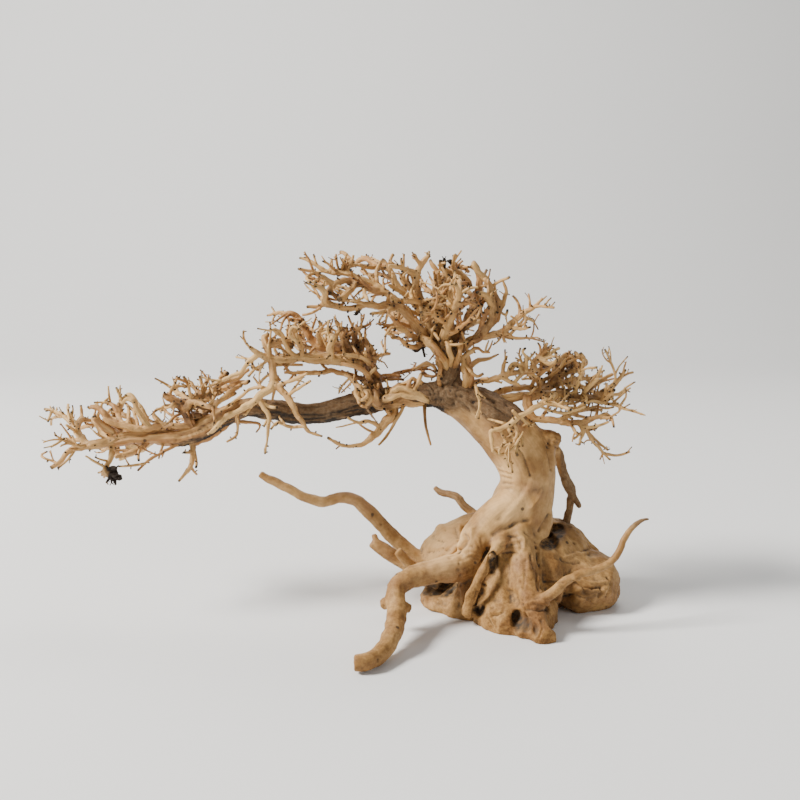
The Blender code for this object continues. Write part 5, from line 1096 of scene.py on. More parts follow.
class Skin:
    """A mesh's points, normals and neighbours as arrays, to shape the wood's surface by."""

    def __init__(self, mesh):
        self.mesh = mesh
        self.points = np.empty(len(mesh.vertices) * 3)
        mesh.vertices.foreach_get("co", self.points)
        self.points = self.points.reshape(-1, 3)
        edges = np.empty(len(mesh.edges) * 2, dtype=np.int64)
        mesh.edges.foreach_get("vertices", edges)
        self.edges = edges.reshape(-1, 2)
        self.counts = np.bincount(self.edges.ravel(), minlength=len(self.points))[:, None]

    def average(self, values):
        """Each point's mean of its neighbours' values."""
        total = np.zeros_like(values)
        for axis in range(values.shape[1]):
            one = np.bincount(self.edges[:, 0], values[self.edges[:, 1], axis], len(self.points))
            two = np.bincount(self.edges[:, 1], values[self.edges[:, 0], axis], len(self.points))
            total[:, axis] = one + two
        return total / np.maximum(self.counts, 1)

    def relax(self, times, share=0.5):
        for _ in range(times):
            self.points += (self.average(self.points) - self.points) * share

    def raise_by(self, height):
        """Move every point out along its normal, in millimetres."""
        self.points += self.normals() * (height * MM)[:, None]

    def write(self):
        self.mesh.vertices.foreach_set("co", self.points.ravel())
        self.mesh.update()

    def normals(self):
        self.write()
        found = np.empty(len(self.points) * 3)
        self.mesh.vertex_normals.foreach_get("vector", found)
        return found.reshape(-1, 3)

    def facing(self, axis, low, high):
        """1 where the skin looks to the front or down, 0 where it looks away."""
        return step_between(-self.normals()[:, axis], low, high)

    def hollowness(self, reach):
        """How far each point lies below the skin around it, in metres."""
        smooth = self.points.copy()
        for _ in range(reach):
            smooth = self.average(smooth)
        return np.einsum("ij,ij->i", smooth - self.points, self.normals())


def noise_at(points, size, seed=0.0):
    """Smooth noise of about that size in millimetres, from -1 to 1, at each point."""
    scaled = points / (size * MM) + seed
    return np.array([noise.noise(point) for point in scaled])


def rough_noise_at(points, size, octaves, seed=0.0):
    """Noise with finer noise on it."""
    scaled = points / (size * MM) + seed
    return np.array([noise.fractal(point, 0.9, 2.1, octaves) for point in scaled])


def ridges_at(points, size, seed=0.0):
    """Sharp crests between smooth hollows, from 0 to 1."""
    return 1.0 - np.abs(noise_at(points, size, seed)) * 2.0


def flow_of(points, routes):
    """Where each point lies in the wood: across the grain, along it, its stem's radius and look.

    Near a fork the stems' values run into each other, so the grain turns with the wood.
    """
    total = np.full(len(points), 1e-12)
    sums = {key: np.zeros(len(points)) for key in FLOW_KEYS}
    for route in routes:
        places = [np.array(place) for place in route.places]
        direction = (route.places[1] - route.places[0]).normalized()
        side = direction.orthogonal().normalized()
        low = np.min(places, axis=0) - REACH_OF_WOOD
        high = np.max(places, axis=0) + REACH_OF_WOOD
        near = np.where(np.all((points > low) & (points < high), axis=1))[0]
        if not len(near):
            continue
        local = points[near]
        for index, start in enumerate(places[:-1]):
            line = places[index + 1] - start
            step = np.linalg.norm(line)
            next_direction = Vector(line).normalized()
            side = direction.rotation_difference(next_direction) @ side
            front = next_direction.cross(side)
            direction = next_direction
            share = np.clip(((local - start) @ line) / max(step * step, 1e-12), 0.0, 1.0)
            offset = local - start - share[:, None] * line
            radius = route.radii[index] + (route.radii[index + 1] - route.radii[index]) * share
            crowding = route.crowding[index] + (route.crowding[index + 1] - route.crowding[index]) * share
            travelled = route.travelled[index] + share * step
            relative = np.linalg.norm(offset, axis=1) / np.maximum(radius, 1e-5)
            weight = 1.0 / (relative ** 8 + 1e-3)
            total[near] += weight
            found = (offset @ np.array(side), offset @ np.array(front), travelled, radius,
                     route.tip_at(travelled), route.shade, crowding)
            for key, value in zip(FLOW_KEYS, found):
                sums[key][near] += weight * value
    return {key: value / total for key, value in sums.items()}


def grain_of(flow, stretch):
    """Across and along the grain at each point. A small stretch draws a pattern out along it."""
    return np.stack([flow["side"], flow["front"], flow["along"] * stretch], axis=1)


def store(mesh, name, values):
    attribute = mesh.attributes.get(name) or mesh.attributes.new(name, "FLOAT", "POINT")
    attribute.data.foreach_set("value", np.asarray(values, dtype=np.float32))


def store_flow(mesh, flow):
    attribute = mesh.attributes.get("grain") or mesh.attributes.new("grain", "FLOAT_VECTOR", "POINT")
    attribute.data.foreach_set("vector", grain_of(flow, 1.0).astype(np.float32).ravel())
    for name in ("tip", "shade", "crowding"):
        store(mesh, name, flow[name])


def joined(name, meshes):
    work = bmesh.new()
    wood_layers(work)
    for mesh in meshes:
        work.from_mesh(mesh)
        bpy.data.meshes.remove(mesh)
    whole = bpy.data.meshes.new(name)
    work.to_mesh(whole)
    work.free()
    return whole


def finished_piece(name, mesh, material, nodes):
    skin = Skin(mesh)
    skin.points = np.clip(skin.points, np.array(cad_box[0]), np.array(cad_box[1]))
    skin.write()
    mesh.shade_smooth()
    mesh.materials.clear()
    mesh.materials.append(material)
    piece = placed(name, mesh)
    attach(piece, "root")
    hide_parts(*nodes)


def sprouts(rng, routes, spacing, lengths, radii, box, dark=0.5, slants=TWIG_SLANTS):
    """Crooked side twigs from the given stems, kept within a box. Sizes are in millimetres."""
    found = []
    for route in routes:
        count = int(route.length / (spacing * MM) + rng.random())
        for _ in range(count):
            for _ in range(3):
                sprout = one_sprout(rng, route, lengths, radii, slants)
                if inside(sprout, box):
                    sprout.dark_tip = 1.0 if rng.random() < dark else 0.0
                    found.append(sprout)
                    break
    return found


def one_sprout(rng, parent, lengths, radii, slants):
    """One twig: it leaves its stem at a slant, turns this way and that, and ends blunt."""
    place, direction, parent_radius = parent.at(rng.uniform(0.10, 1.0))
    outward = direction.orthogonal().normalized()
    outward.rotate(Matrix.Rotation(rng.uniform(0, 2 * math.pi), 3, direction))
    slant = rng.uniform(*slants)
    heading = direction * math.cos(slant) + outward * math.sin(slant)
    heading.z += 0.22
    heading.normalize()
    radius = min(parent_radius * 0.72, rng.uniform(*radii) * MM)
    whole = rng.uniform(*lengths) * MM + parent_radius
    steps = max(3, round(whole / (1.5 * MM)))
    places = [place.copy()]
    sizes = [radius]
    turn_axis = heading.orthogonal().normalized()
    turn_axis.rotate(Matrix.Rotation(rng.uniform(0, 2 * math.pi), 3, heading))
    bend = rng.uniform(0.01, 0.13)
    for step in range(steps):
        kink = 0.0
        if rng.random() < 0.10:
            turn_axis = Vector((rng.uniform(-1, 1), rng.uniform(-1, 1), rng.uniform(-1, 1))).normalized()
            kink = rng.uniform(0.2, 0.6)
        heading.rotate(Matrix.Rotation(bend + kink, 3, turn_axis))
        heading.z += 0.02
        heading.normalize()
        places.append(places[-1] + heading * whole / steps)
        sizes.append(radius * (1.0 - 0.36 * (step + 1) / steps) * rng.uniform(0.90, 1.10))
    shade = min(max(parent.shade + rng.uniform(-0.25, 0.25), 0.0), 1.0)
    return Route(places, sizes, shade)


def inside(route, box):
    low, high = box
    return all(low[axis] < place[axis] < high[axis] for place in route.places for axis in range(3))


def mark_crowding(routes):
    """Note at every place how much other wood stands around it: 0 at the edge, 1 in the thick, where the
    twigs get painted shade.
    """
    spots = [(place, radius) for route in routes for place, radius in zip(route.places, route.radii)]
    tree = kdtree.KDTree(len(spots))
    for index, (place, _) in enumerate(spots):
        tree.insert(place, index)
    tree.balance()
    covers = []
    for place, _ in spots:
        covers.append(sum(spots[index][1] for _, index, _ in tree.find_range(place, CROWD_REACH)))
    low = np.percentile(covers, 30)
    high = np.percentile(covers, 96)
    marks = iter(step_between(np.array(covers), low, high))
    for route in routes:
        route.crowding = [float(next(marks)) for _ in route.places]


def step_between(values, low, high):
    share = np.clip((values - low) / (high - low), 0.0, 1.0)
    return share * share * (3.0 - 2.0 * share)


def seen_from_eye(points):
    """Across and up, in millimetres, where each real point is seen against the upright plane."""
    eye = np.array(EYE)
    places = points / MM
    share = (places[:, 1] - eye[1]) / -eye[1]
    across = eye[0] + (places[:, 0] - eye[0]) / share
    up = eye[2] + (places[:, 2] - eye[2]) / share
    return across, up


def make_trunk(tan_wood):
    """The trunk, burl, roots and bough in one skin, weathered and hollowed."""
    body_routes = [stem_route(stem, TRUNK_STEP) for stem in TRUNK_STEMS]
    for flare in ROOT_FLARES:
        places = [Vector(point[:3]) * MM for point in flare]
        body_routes.append(route_along(places, [point[3] * MM for point in flare], TRUNK_STEP))
    thin_stems = [stem for stems in ROOTS.values() for stem in stems]
    bough_stems = grow_stems(BOUGH["bough_left"][1], TRUNK_STEMS)
    thin_stems += bough_stems[:FORK_WOOD.start] + bough_stems[FORK_WOOD.stop:]
    thin_stems += grow_stems(CROWN["crown_stem"][1], TRUNK_STEMS)[:1]
    limb_routes = [stem_route(stem, ROOT_STEP, ROOT_GNARL, number) for number, stem in enumerate(thin_stems)]
    lumps = [lump(centre, half_sizes) for centre, half_sizes in BURL_LUMPS]
    body = fused(joined("body", [tubes(body_routes, 16), *lumps]), TRUNK_VOXEL * 1.5)
    weather_body(body, body_routes)
    thick = [route for route in limb_routes if max(route.radii) >= TRUNK_FUSED_RADIUS * MM]
    thin = [route for route in limb_routes if route not in thick]
    skin_mesh = fused(joined("skin", [body, tubes(thick, 14)]), TRUNK_VOXEL)
    weather_wood(skin_mesh, body_routes, limb_routes)
    skin_mesh = thinned(skin_mesh, TRUNK_FACES_KEPT)
    saw_flat(skin_mesh)
    dress_trunk(skin_mesh, body_routes + limb_routes)
    whole = joined("trunk", [skin_mesh, tubes(thin, 8, flare=1.5)])
    finished_piece("trunk_and_bough", whole, tan_wood, [*TRUNK_WOOD, *ROOTS])


def low_down(points, low, high):
    """1 on the burl, 0 on the trunk above it."""
    return 1.0 - step_between(points[:, 2] / MM, low, high)


def weather_body(mesh, routes):
    """The big forms of the trunk and burl: folds that run down into the roots, and dents."""
    skin = Skin(mesh)
    skin.relax(5)
    flow = flow_of(skin.points, routes)
    burl = low_down(skin.points, 38, 66)
    grain = grain_of(flow, 0.20)
    folds = ridges_at(grain, 10) * 0.7 + ridges_at(grain, 5.5, 3.0) * 0.4 - 0.5
    crags = 1.5 * rough_noise_at(skin.points, 20, 3) + 1.1 * (ridges_at(skin.points, 13, 5.0) - 0.62)
    skin.raise_by(burl * (crags + 1.0 * folds) + (1 - burl) * 0.4 * folds)
    press_dents(skin)
    split_right_end(skin)
    skin.relax(1)
    skin.write()


def split_right_end(skin):
    """Take the round of the burl's right end down to the flat faces of split wood."""
    share = step_between(skin.points[:, 0] / MM, 32.0, 44.0) * 0.9
    for place, facing in SPLIT_FACES:
        outward = np.array(Vector(facing).normalized())
        beyond = np.clip((skin.points - np.array(place) * MM) @ outward, 0.0, None)
        skin.points -= (beyond * share)[:, None] * outward


def press_dents(skin):
    """Push the dents of the front in, straight to the back."""
    facing = skin.facing(FRONT, -0.1, 0.35)
    for bowl, depth in dent_bowls(skin.points):
        skin.points[:, 1] += bowl ** 0.6 * facing * depth * MM


def dent_bowls(points):
    """Each dent's depth, and how near every point is to its middle, from 0 to 1."""
    across, up = seen_from_eye(points)
    for u, v, half_width, half_height, depth, foremost in FRONT_DENTS:
        reach = ((across - u) / half_width) ** 2 + ((up - v) / half_height) ** 2
        spared = points[:, 1] < foremost * MM
        yield np.clip(1.0 - reach, 0.0, 1.0) * ~spared, depth


def fold_heights(skin):
    """The height, in millimetres, that the folds of the front add at each point."""
    across, up = seen_from_eye(skin.points)
    facing = skin.facing(FRONT, 0.0, 0.4)
    height = np.zeros(len(across))
    for lift, half_width, *places in FRONT_FOLDS:
        nearest = np.full(len(across), 9.0)
        for (u0, v0), (u1, v1) in zip(places, places[1:]):
            span = (u1 - u0) ** 2 + (v1 - v0) ** 2
            share = np.clip(((across - u0) * (u1 - u0) + (up - v0) * (v1 - v0)) / span, 0.0, 1.0)
            away = np.hypot(across - u0 - share * (u1 - u0), up - v0 - share * (v1 - v0))
            nearest = np.minimum(nearest, away / half_width)
        height += lift * FOLD_SHARE * np.clip(1.0 - (nearest * 0.8) ** 2, 0.0, 1.0) ** 2
    return height * facing


def weather_wood(mesh, body_routes, limb_routes):
    """The fine forms: wrinkles and cracks, rough bark, pits, and fibres raised along the grain."""
    skin = Skin(mesh)
    skin.relax(3)
    flow = flow_of(skin.points, body_routes + limb_routes)
    bark = bark_share(skin)
    burl = low_down(skin.points, 34, 58)
    grain = grain_of(flow, 0.12)
    thin = np.clip(flow["radius"] / (8 * MM), 0.12, 1.0)
    height = fold_heights(skin)
    height += 0.18 * (ridges_at(grain, 2.8) - 0.6) * (0.4 + 0.9 * burl + 1.6 * bark) * (0.4 + thin)
    height += burl * thin * 0.62 * rough_noise_at(skin.points, 6, 4)
    height += bark * (0.4 + thin) * (0.35 * rough_noise_at(skin.points, 3.2, 3, 9.0))
    height -= bark * thin * 1.4 * np.clip(ridges_at(grain, 5.0, 7.0) - 0.72, 0.0, 1.0) * 3.0
    height += 0.6 * thin * noise_at(skin.points, 9, 4.0)
    height += torn_share(skin) * 2.2 * (ridges_at(grain, 3.2, 8.0) - 0.55)
    bundle = bundled_share(skin)
    height += bundle * thin * (2.6 * ridges_at(grain * 0.8, 4.4, 12.0) - 1.5)
    skin.raise_by(height)
    press_pits(skin, burl)
    skin.write()


def torn_share(skin):
    """1 on the torn end of the stump, 0 away from it."""
    across, up = seen_from_eye(skin.points)
    u, v, reach = TORN_STUMP
    return np.clip(1.0 - np.hypot(across - u, up - v) / reach, 0.0, 1.0) ** 0.5


def bundled_share(skin):
    """1 where the bough has split into a bundle of strands, towards its left end."""
    across, up = seen_from_eye(skin.points)
    return (1.0 - step_between(across, -178.0, -158.0)) * (up > 90)


def press_pits(skin, burl):
    """Small rot holes, more of them on the burl than on the smooth trunk."""
    rng = random.Random(PIT_SEED)
    normals = skin.normals()
    pressed = 0
    while pressed < PIT_COUNT:
        index = rng.randrange(len(skin.points))
        if burl[index] < rng.uniform(0.0, 0.9) - 0.10:
            continue
        radius = rng.uniform(0.8, 2.0) * MM
        away = skin.points - skin.points[index]
        distance = np.einsum("ij,ij->i", away, away)
        bowl = np.clip(1.0 - distance / radius ** 2, 0.0, 1.0)
        skin.points -= normals * (bowl * radius * rng.uniform(0.5, 1.0))[:, None]
        pressed += 1


def bark_share(skin):
    """1 where rough grey-brown bark is left: upper trunk, bough, crown's stem, some root ends."""
    across, up = seen_from_eye(skin.points)
    line = np.interp(across, [place[0] for place in BARK_LINE], [place[1] for place in BARK_LINE])
    edge = line + 3.5 * noise_at(skin.points, 9, 2.0)
    bark = step_between(up - edge, -1.5, 2.5)
    hanging_root = step_between(across, 33.0, 35.0) * step_between(up, 44.0, 52.0) * 0.9
    back_root = (across > -46) * (across < -19) * step_between(up, 58.0, 61.0) * (up < 80) * 0.7
    return np.clip(np.maximum(bark, np.maximum(hanging_root, back_root)), 0.0, 1.0)


def saw_flat(mesh):
    """Cut the burl off at the ground and close the cut."""
    work = bmesh.new()
    work.from_mesh(mesh)
    parts = work.verts[:] + work.edges[:] + work.faces[:]
    cut = bmesh.ops.bisect_plane(work, geom=parts, dist=1e-7, plane_co=(0, 0, 0), plane_no=(0, 0, -1),
                                 clear_outer=True)
    rim = [part for part in cut["geom_cut"] if isinstance(part, bmesh.types.BMEdge)]
    bmesh.ops.triangle_fill(work, use_beauty=True, use_dissolve=False, edges=rim)
    bmesh.ops.recalc_face_normals(work, faces=work.faces[:])
    work.to_mesh(mesh)
    work.free()


def dress_trunk(mesh, routes):
    """Write down where the trunk's grain runs, where dirt gathers with painted shade, where light is painted,
    and where bark is left.
    """
    skin = Skin(mesh)
    flow = flow_of(skin.points, routes)
    flow["tip"] *= 0.0
    store_flow(mesh, flow)
    across, up = seen_from_eye(skin.points)
    twiggy = bundled_share(skin)
    # Bark colour on the downward faces of the bough's split end: bark left there, with painted shade.
    under_end = step_between(across, -218.0, -206.0) * skin.facing(DOWN, -0.1, 0.6)
    bark = np.maximum(bark_share(skin) * (1.0 - twiggy), twiggy * under_end)
    # Black cracks painted on the bough's underside: painted shade with charred bark.
    under_bough = skin.facing(DOWN, -0.25, 0.45) * (across < -40) * (up > 100)
    for name, values in (("stain_and_shade", stain_and_shade_share(skin)), ("painted_light_and_bleach", lit_and_bleached_share(skin)),
                         ("hollow_dirt_and_shade", dirt_and_shade_share(skin)), ("bark", bark), ("twiggy", twiggy),
                         ("char_and_shade", bark * under_bough)):
        store(mesh, name, values)


def stain_and_shade_share(skin):
    """How much the low wood is darkened: towards the bottom, and most on the burl's front faces, painted
    shade with blotches of stain, least at its right end.
    """
    across, _ = seen_from_eye(skin.points)
    blotches = step_between(noise_at(skin.points, 7, 21.0), -0.5, 0.4)
    # Painted shade on the faces that look to the front.
    facing = skin.facing(FRONT, 0.30, 0.9) * (across > -26)
    right = step_between(across, 30.0, 44.0)
    return low_down(skin.points, 14, 62) * (0.42 + (0.34 + 0.28 * blotches) * facing * (1 - right))


def lit_and_bleached_share(skin):
    """1 in the middle of the places painted palest, with painted light and bleach, 0 outside them."""
    across, up = seen_from_eye(skin.points)
    lit_share = np.zeros(len(across))
    for u, v, reach in LIT_AND_BLEACHED:
        away = np.hypot(across - u, up - v) / reach
        lit_share = np.maximum(lit_share, np.clip(1.0 - away ** 2, 0.0, 1.0))
    return lit_share


def dirt_and_shade_share(skin):
    """Dirt with painted shade: 0 on open wood, towards 1 in crevices and in the dents of the front, where it
    is painted shade.
    """
    hollow_dirt_and_shade = hollow_share(skin)
    inward = skin.facing(FRONT, -0.4, 0.2) * (skin.points[:, 1] < 0.02)
    # The dents of the front get painted shade.
    for bowl, depth in dent_bowls(skin.points):
        hollow_dirt_and_shade = np.maximum(hollow_dirt_and_shade, np.clip(bowl * 2.2, 0.0, 1.0) * inward * min(1.0, depth / 7.0))
    return hollow_dirt_and_shade


def hollow_share(skin):
    """0 on open wood, towards 1 in pits, forks and crevices."""
    near = step_between(skin.hollowness(5), 0.09 * MM, 0.46 * MM)
    wide = step_between(skin.hollowness(30), 0.6 * MM, 2.6 * MM)
    return np.clip(near * 0.6 + wide * 0.8, 0.0, 1.0)


def make_limb(name, limb, wood):
    """One limb of a pad: thick stems fused into a skin, thin stems and side twigs as tubes."""
    stems, twigs = limb
    thick = [route for route in stems if max(route.radii) >= FUSED_RADIUS * MM]
    thin = [route for route in stems if max(route.radii) < FUSED_RADIUS * MM]
    meshes = []
    if thick:
        skin_mesh = fused(tubes(thick, 10, flare=1.15), LIMB_VOXEL)
        skin = Skin(skin_mesh)
        skin.relax(3)
        flow = flow_of(skin.points, thick)
        grain = grain_of(flow, 0.15)
        stout = np.clip(flow["radius"] / (3 * MM), 0.3, 1.0)
        height = 0.26 * noise_at(skin.points, 2.4) + 0.24 * noise_at(skin.points, 5.0, 3.0)
        skin.raise_by(height + 0.75 * stout * (ridges_at(grain, 2.0) - 0.55) + 0.04)
        skin.write()
        skin_mesh = thinned(skin_mesh, LIMB_FACES_KEPT)
        store_flow(skin_mesh, flow_of(Skin(skin_mesh).points, thick))
        meshes.append(skin_mesh)
    meshes += [tubes(thin, 8, flare=1.3), tubes(twigs, 6, flare=1.3)]
    whole = joined(name, meshes)
    # Where dirt and painted shade go in the limb's hollows.
    store(whole, "hollow_dirt_and_shade", hollow_share(Skin(whole)))
    finished_piece(name + "_wood", whole, wood, [name])


def grow_limbs():
    """The routes of every limb of the pads: its planned stems, and its finer side twigs."""
    rng = random.Random(TWIG_SEED)
    grown, black = grow_plan()
    return {name: grow_limb(name, rng, grown[name], black[name])
            for name in grown if name not in TRUNK_WOOD}


def grow_plan():
    """Every planned stem and strand with its depth, by limb, and apart from them the black strands."""
    grown = {"trunk": TRUNK_STEMS}
    for pad in (BOUGH, MIDDLE_PAD, CROWN, RIGHT_PAD):
        for name, (parent, plan) in pad.items():
            grown[name] = grow_stems(plan, grown[parent])
    for stem in grown["crown_stem"][1:]:
        grown["crown_front"].append([(u, v, back, radius * 0.65) for u, v, back, radius in stem])
    grown["pad_stem"] += grown["bough_left"][FORK_WOOD]
    for (name, index), widest in WIDEST.items():
        stem = grown[name][index]
        grown[name][index] = [(u, v, back, min(radius, widest)) for u, v, back, radius in stem]
    for names, strands in ((BOUGH, MORE_TIP), (MIDDLE_PAD, MORE_MIDDLE), (CROWN, MORE_CROWN),
                           (RIGHT_PAD, MORE_RIGHT), (("right_front_limb",), MORE_FORK),
                           (("pad_stem",), MORE_KNOT)):
        add_strands(grown, grown, names, strands)
    black = {name: [] for name in grown}
    add_strands(grown, black, list(grown), BLACK_STRANDS)
    return grown, black


def grow_limb(name, rng, planned, black):
    """One limb's stems, and the twigs, twiglets, knobs and charred spikes that stand on them."""
    stems = [limb_route(rng, stem) for stem in planned]
    paleness = PALE_LIMBS.get(name, USUAL_PALENESS)
    for route in stems:
        route.shade = min(max(paleness + rng.uniform(-0.3, 0.3), 0.0), 1.0)
        route.dark_tip = float(rng.random() < 0.6)
    room = room_around(name)
    spacing = SPACINGS.get(name, USUAL_SPACING)
    twigs = sprouts(rng, stems, spacing, *TWIG_SIZES, room)
    fine = sprouts(rng, stems + twigs, spacing * FINE_SPREAD, *FINE_SIZES, room)
    knobs = sprouts(rng, stems + twigs, KNOB_SPACING, *KNOB_SIZES, room, 1.0, KNOB_SLANTS)
    charred = [limb_route(rng, stem) for stem in black]
    spikes = sprouts(rng, charred, SPIKE_SPACING, *SPIKE_SIZES, room)
    for route in charred + spikes:
        route.dark_tip = ALL_DARK
    if name == "bough_tip_drop":
        for route in stems[:3]:
            route.dark_tip = BLACK_END
    return stems + charred, twigs + fine + knobs + spikes


def limb_route(rng, stem):
    return stem_route(stem, LIMB_STEP, LIMB_GNARL, rng.uniform(0, 50))


def room_around(name):
    """The corners of the space that a limb's twigs stay in."""
    low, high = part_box(name)
    room = Vector((TWIG_ROOM,) * 3)
    edge = Vector((BOX_EDGE,) * 3)
    return (Vector(map(max, low - room, Vector(cad_box[0]) + edge)),
            Vector(map(min, high + room, Vector(cad_box[1]) - edge)))


def add_strands(grown, kept, names, strands):
    """Grow each strand from the limb that is seen nearest to its foot, and keep it with that limb's."""
    names = [name for name in names if name not in TRUNK_WOOD]
    for strand in strands:
        foot = Vector(strand[1][:2])
        spots = {name: Vector(nearest_on(grown[name], foot)[:2]) for name in names}
        nearest = min(names, key=lambda name: (spots[name] - foot).length)
        kept[nearest].append(held_level(*grow_stems([strand], grown[nearest])))


def held_level(stem):
    """Keep a strand from running further in depth than it does across the view."""
    start = stem[0]
    run = sum(math.dist(one[:2], two[:2]) for one, two in zip(stem, stem[1:]))
    reach = max(abs(back - start[2]) for _, _, back, _ in stem)
    share = min(1.0, run / max(reach, 0.01))
    return [(u, v, start[2] + (back - start[2]) * share, radius) for u, v, back, radius in stem]


class Shader:
    """A material's or a group's node tree, with short ways to add and join nodes."""

    def __init__(self, tree):
        self.tree = tree

    def add(self, kind, inputs=None, **settings):
        """A new node; each of the inputs gets a fixed value or another node's socket."""
        node = self.tree.nodes.new(kind)
        for key, value in settings.items():
            setattr(node, key, value)
        for key, value in (inputs or {}).items():
            self.feed(node.inputs[key], value)
        return node

    def feed(self, socket, value):
        if isinstance(value, bpy.types.NodeSocket):
            self.tree.links.new(value, socket)
        else:
            socket.default_value = value

    def share_of(self, name):
        """A value that the mesh carries under that name."""
        return self.add("ShaderNodeAttribute", attribute_name=name).outputs["Fac"]

    def maths(self, operation, one, two, clamp=False):
        node = self.add("ShaderNodeMath", {0: one, 1: two}, operation=operation, use_clamp=clamp)
        return node.outputs[0]

    def times(self, one, two, clamp=False):
        return self.maths("MULTIPLY", one, two, clamp)

    def plus(self, one, two):
        return self.maths("ADD", one, two)

    def noise(self, vector, scale, detail=2.0, roughness=0.5):
        given = {"Vector": vector, "Scale": scale, "Detail": detail, "Roughness": roughness}
        return self.add("ShaderNodeTexNoise", given).outputs["Fac"]

    def ramp(self, value, low, high):
        """0 below low, 1 above high, and smooth between."""
        given = {"Value": value, "From Min": low, "From Max": high}
        return self.add("ShaderNodeMapRange", given, interpolation_type="SMOOTHSTEP").outputs["Result"]

    def mix(self, share, one, two, blend="MIX"):
        given = {0: share, 6: one, 7: two}
        return self.add("ShaderNodeMix", given, data_type="RGBA", blend_type=blend).outputs[2]

    def stretched(self, vector, factors):
        given = {0: vector, 1: factors}
        return self.add("ShaderNodeVectorMath", given, operation="MULTIPLY").outputs["Vector"]

    def in_units(self, vector, size):
        given = {0: vector, "Scale": self.maths("DIVIDE", 1.0, size)}
        return self.add("ShaderNodeVectorMath", given, operation="SCALE").outputs["Vector"]


def wood_pattern_group():
    """What every bit of this wood shows: fibres along the grain, broad patches, dark specks."""
    group = bpy.data.node_groups.new("wood_pattern", "ShaderNodeTree")
    for direction, kind, names in PATTERN_SOCKETS:
        for name in names:
            group.interface.new_socket(name=name, in_out=direction, socket_type=kind)
    shader = Shader(group)
    given = shader.add("NodeGroupInput").outputs
    drawn_out = shader.stretched(given["Grain"], (1.0, 1.0, 0.07))
    fibre_place = shader.in_units(drawn_out, given["Fibre Width"])
    speck_place = shader.in_units(given["Place"], given["Speck Spacing"])
    fibre = shader.noise(fibre_place, 1.0, 4.0, 0.62)
    patch = shader.noise(shader.in_units(given["Place"], given["Patch Size"]), 1.0, 3.0, 0.6)
    one_each = {"Vector": speck_place, "Scale": 1.0, "Randomness": 1.0}
    cells = shader.add("ShaderNodeTexVoronoi", one_each, feature="F1")
    dot = shader.maths("SUBTRACT", 1.0, shader.ramp(cells.outputs["Distance"], 0.08, 0.17))
    here = shader.ramp(shader.noise(speck_place, 0.8, 1.0), 0.44, 0.54)
    speck = shader.times(dot, here)
    fine = shader.noise(fibre_place, 2.3, 3.0, 0.6)
    relief = shader.plus(shader.times(fibre, 0.65), shader.times(fine, 0.35))
    relief = shader.maths("SUBTRACT", relief, shader.times(speck, 0.6))
    shader.add("NodeGroupOutput", {"Fibre": fibre, "Patch": patch, "Speck": speck, "Relief": relief})
    return group


def new_material(name):
    material = bpy.data.materials.new(name)
    material.use_nodes = True
    return material, Shader(material.node_tree), material.node_tree.nodes["Principled BSDF"]


def pattern_in(shader, group, fibre_width, patch_size, speck_spacing):
    """Place the shared pattern in a material, on the object's own grain and place."""
    place = shader.add("ShaderNodeTexCoord").outputs["Object"]
    grain = shader.add("ShaderNodeAttribute", attribute_name="grain").outputs["Vector"]
    given = {"Grain": grain, "Place": place, "Fibre Width": fibre_width * MM,
             "Patch Size": patch_size * MM, "Speck Spacing": speck_spacing * MM}
    return shader.add("ShaderNodeGroup", given, node_tree=group).outputs, place, grain


def tan_wood_material(group):
    """Smooth tan wood with ochre patches and painted light and shade; grey-brown bark where it is left; dirt
    and painted shade in the hollows.
    """
    material, shader, surface = new_material("weathered_tan_wood")
    pattern, place, grain = pattern_in(shader, group, 1.3, 17.0, 9.0)
    stain_and_shade = shader.share_of("stain_and_shade")
    bark = shader.share_of("bark")
    bark_noise = shader.ramp(shader.noise(place, 420.0, 5.0, 0.7), 0.36, 0.62)
    colour = bare_wood(shader, pattern, place)
    colour = stained_and_shaded_wood(shader, colour, place, stain_and_shade)
    # Painted light on the lit places, with the wood bleached there.
    colour = shader.mix(shader.times(shader.share_of("painted_light_and_bleach"), 0.85), colour, TAN_LIT_AND_BLEACHED)
    colour = shader.mix(shader.share_of("twiggy"), colour, bundled_strands(shader, grain))
    colour = shader.mix(shader.times(bark, 0.92), colour, shader.mix(bark_noise, BARK_BROWN, BARK_GREY))
    fibre = shader.mix(shader.ramp(pattern["Fibre"], 0.30, 0.62), FIBRE_DIM, FIBRE_BRIGHT)
    streaky = shader.plus(0.42, shader.times(bark, 0.45))
    colour = shader.mix(streaky, colour, fibre, "MULTIPLY")
    colour = charred_dirty_and_shaded(shader, colour, place)
    few = shader.ramp(shader.noise(place, 48.0, 1.0), 0.50, 0.56)
    specks = shader.times(pattern["Speck"], shader.times(few, 0.8))
    shader.feed(surface.inputs["Base Color"], shader.mix(specks, colour, BLACK_KNOT))
    rough = shader.plus(shader.plus(0.56, shader.times(bark, 0.28)), shader.times(stain_and_shade, 0.25))
    shader.feed(surface.inputs["Roughness"], rough)
    surface.inputs["Specular IOR Level"].default_value = 0.35
    rough_relief = shader.times(bark_noise, shader.times(bark, 1.2))
    add_bump(shader, surface, shader.plus(pattern["Relief"], rough_relief), 0.5, 0.5)
    return material


def bare_wood(shader, pattern, place):
    """Smooth tan with ochre and pinkish patches and a fine mottle."""
    colour = shader.mix(shader.ramp(pattern["Patch"], 0.36, 0.66), TAN_LIGHT, TAN_OCHRE)
    pink = shader.ramp(shader.noise(place, 42.0, 3.0), 0.52, 0.70)
    colour = shader.mix(shader.times(pink, 0.6), colour, TAN_PINK)
    mottle = shader.ramp(shader.noise(place, 260.0, 4.0, 0.65), 0.32, 0.68)
    return shader.mix(0.55, colour, shader.mix(mottle, MOTTLE_DIM, MOTTLE_BRIGHT), "MULTIPLY")


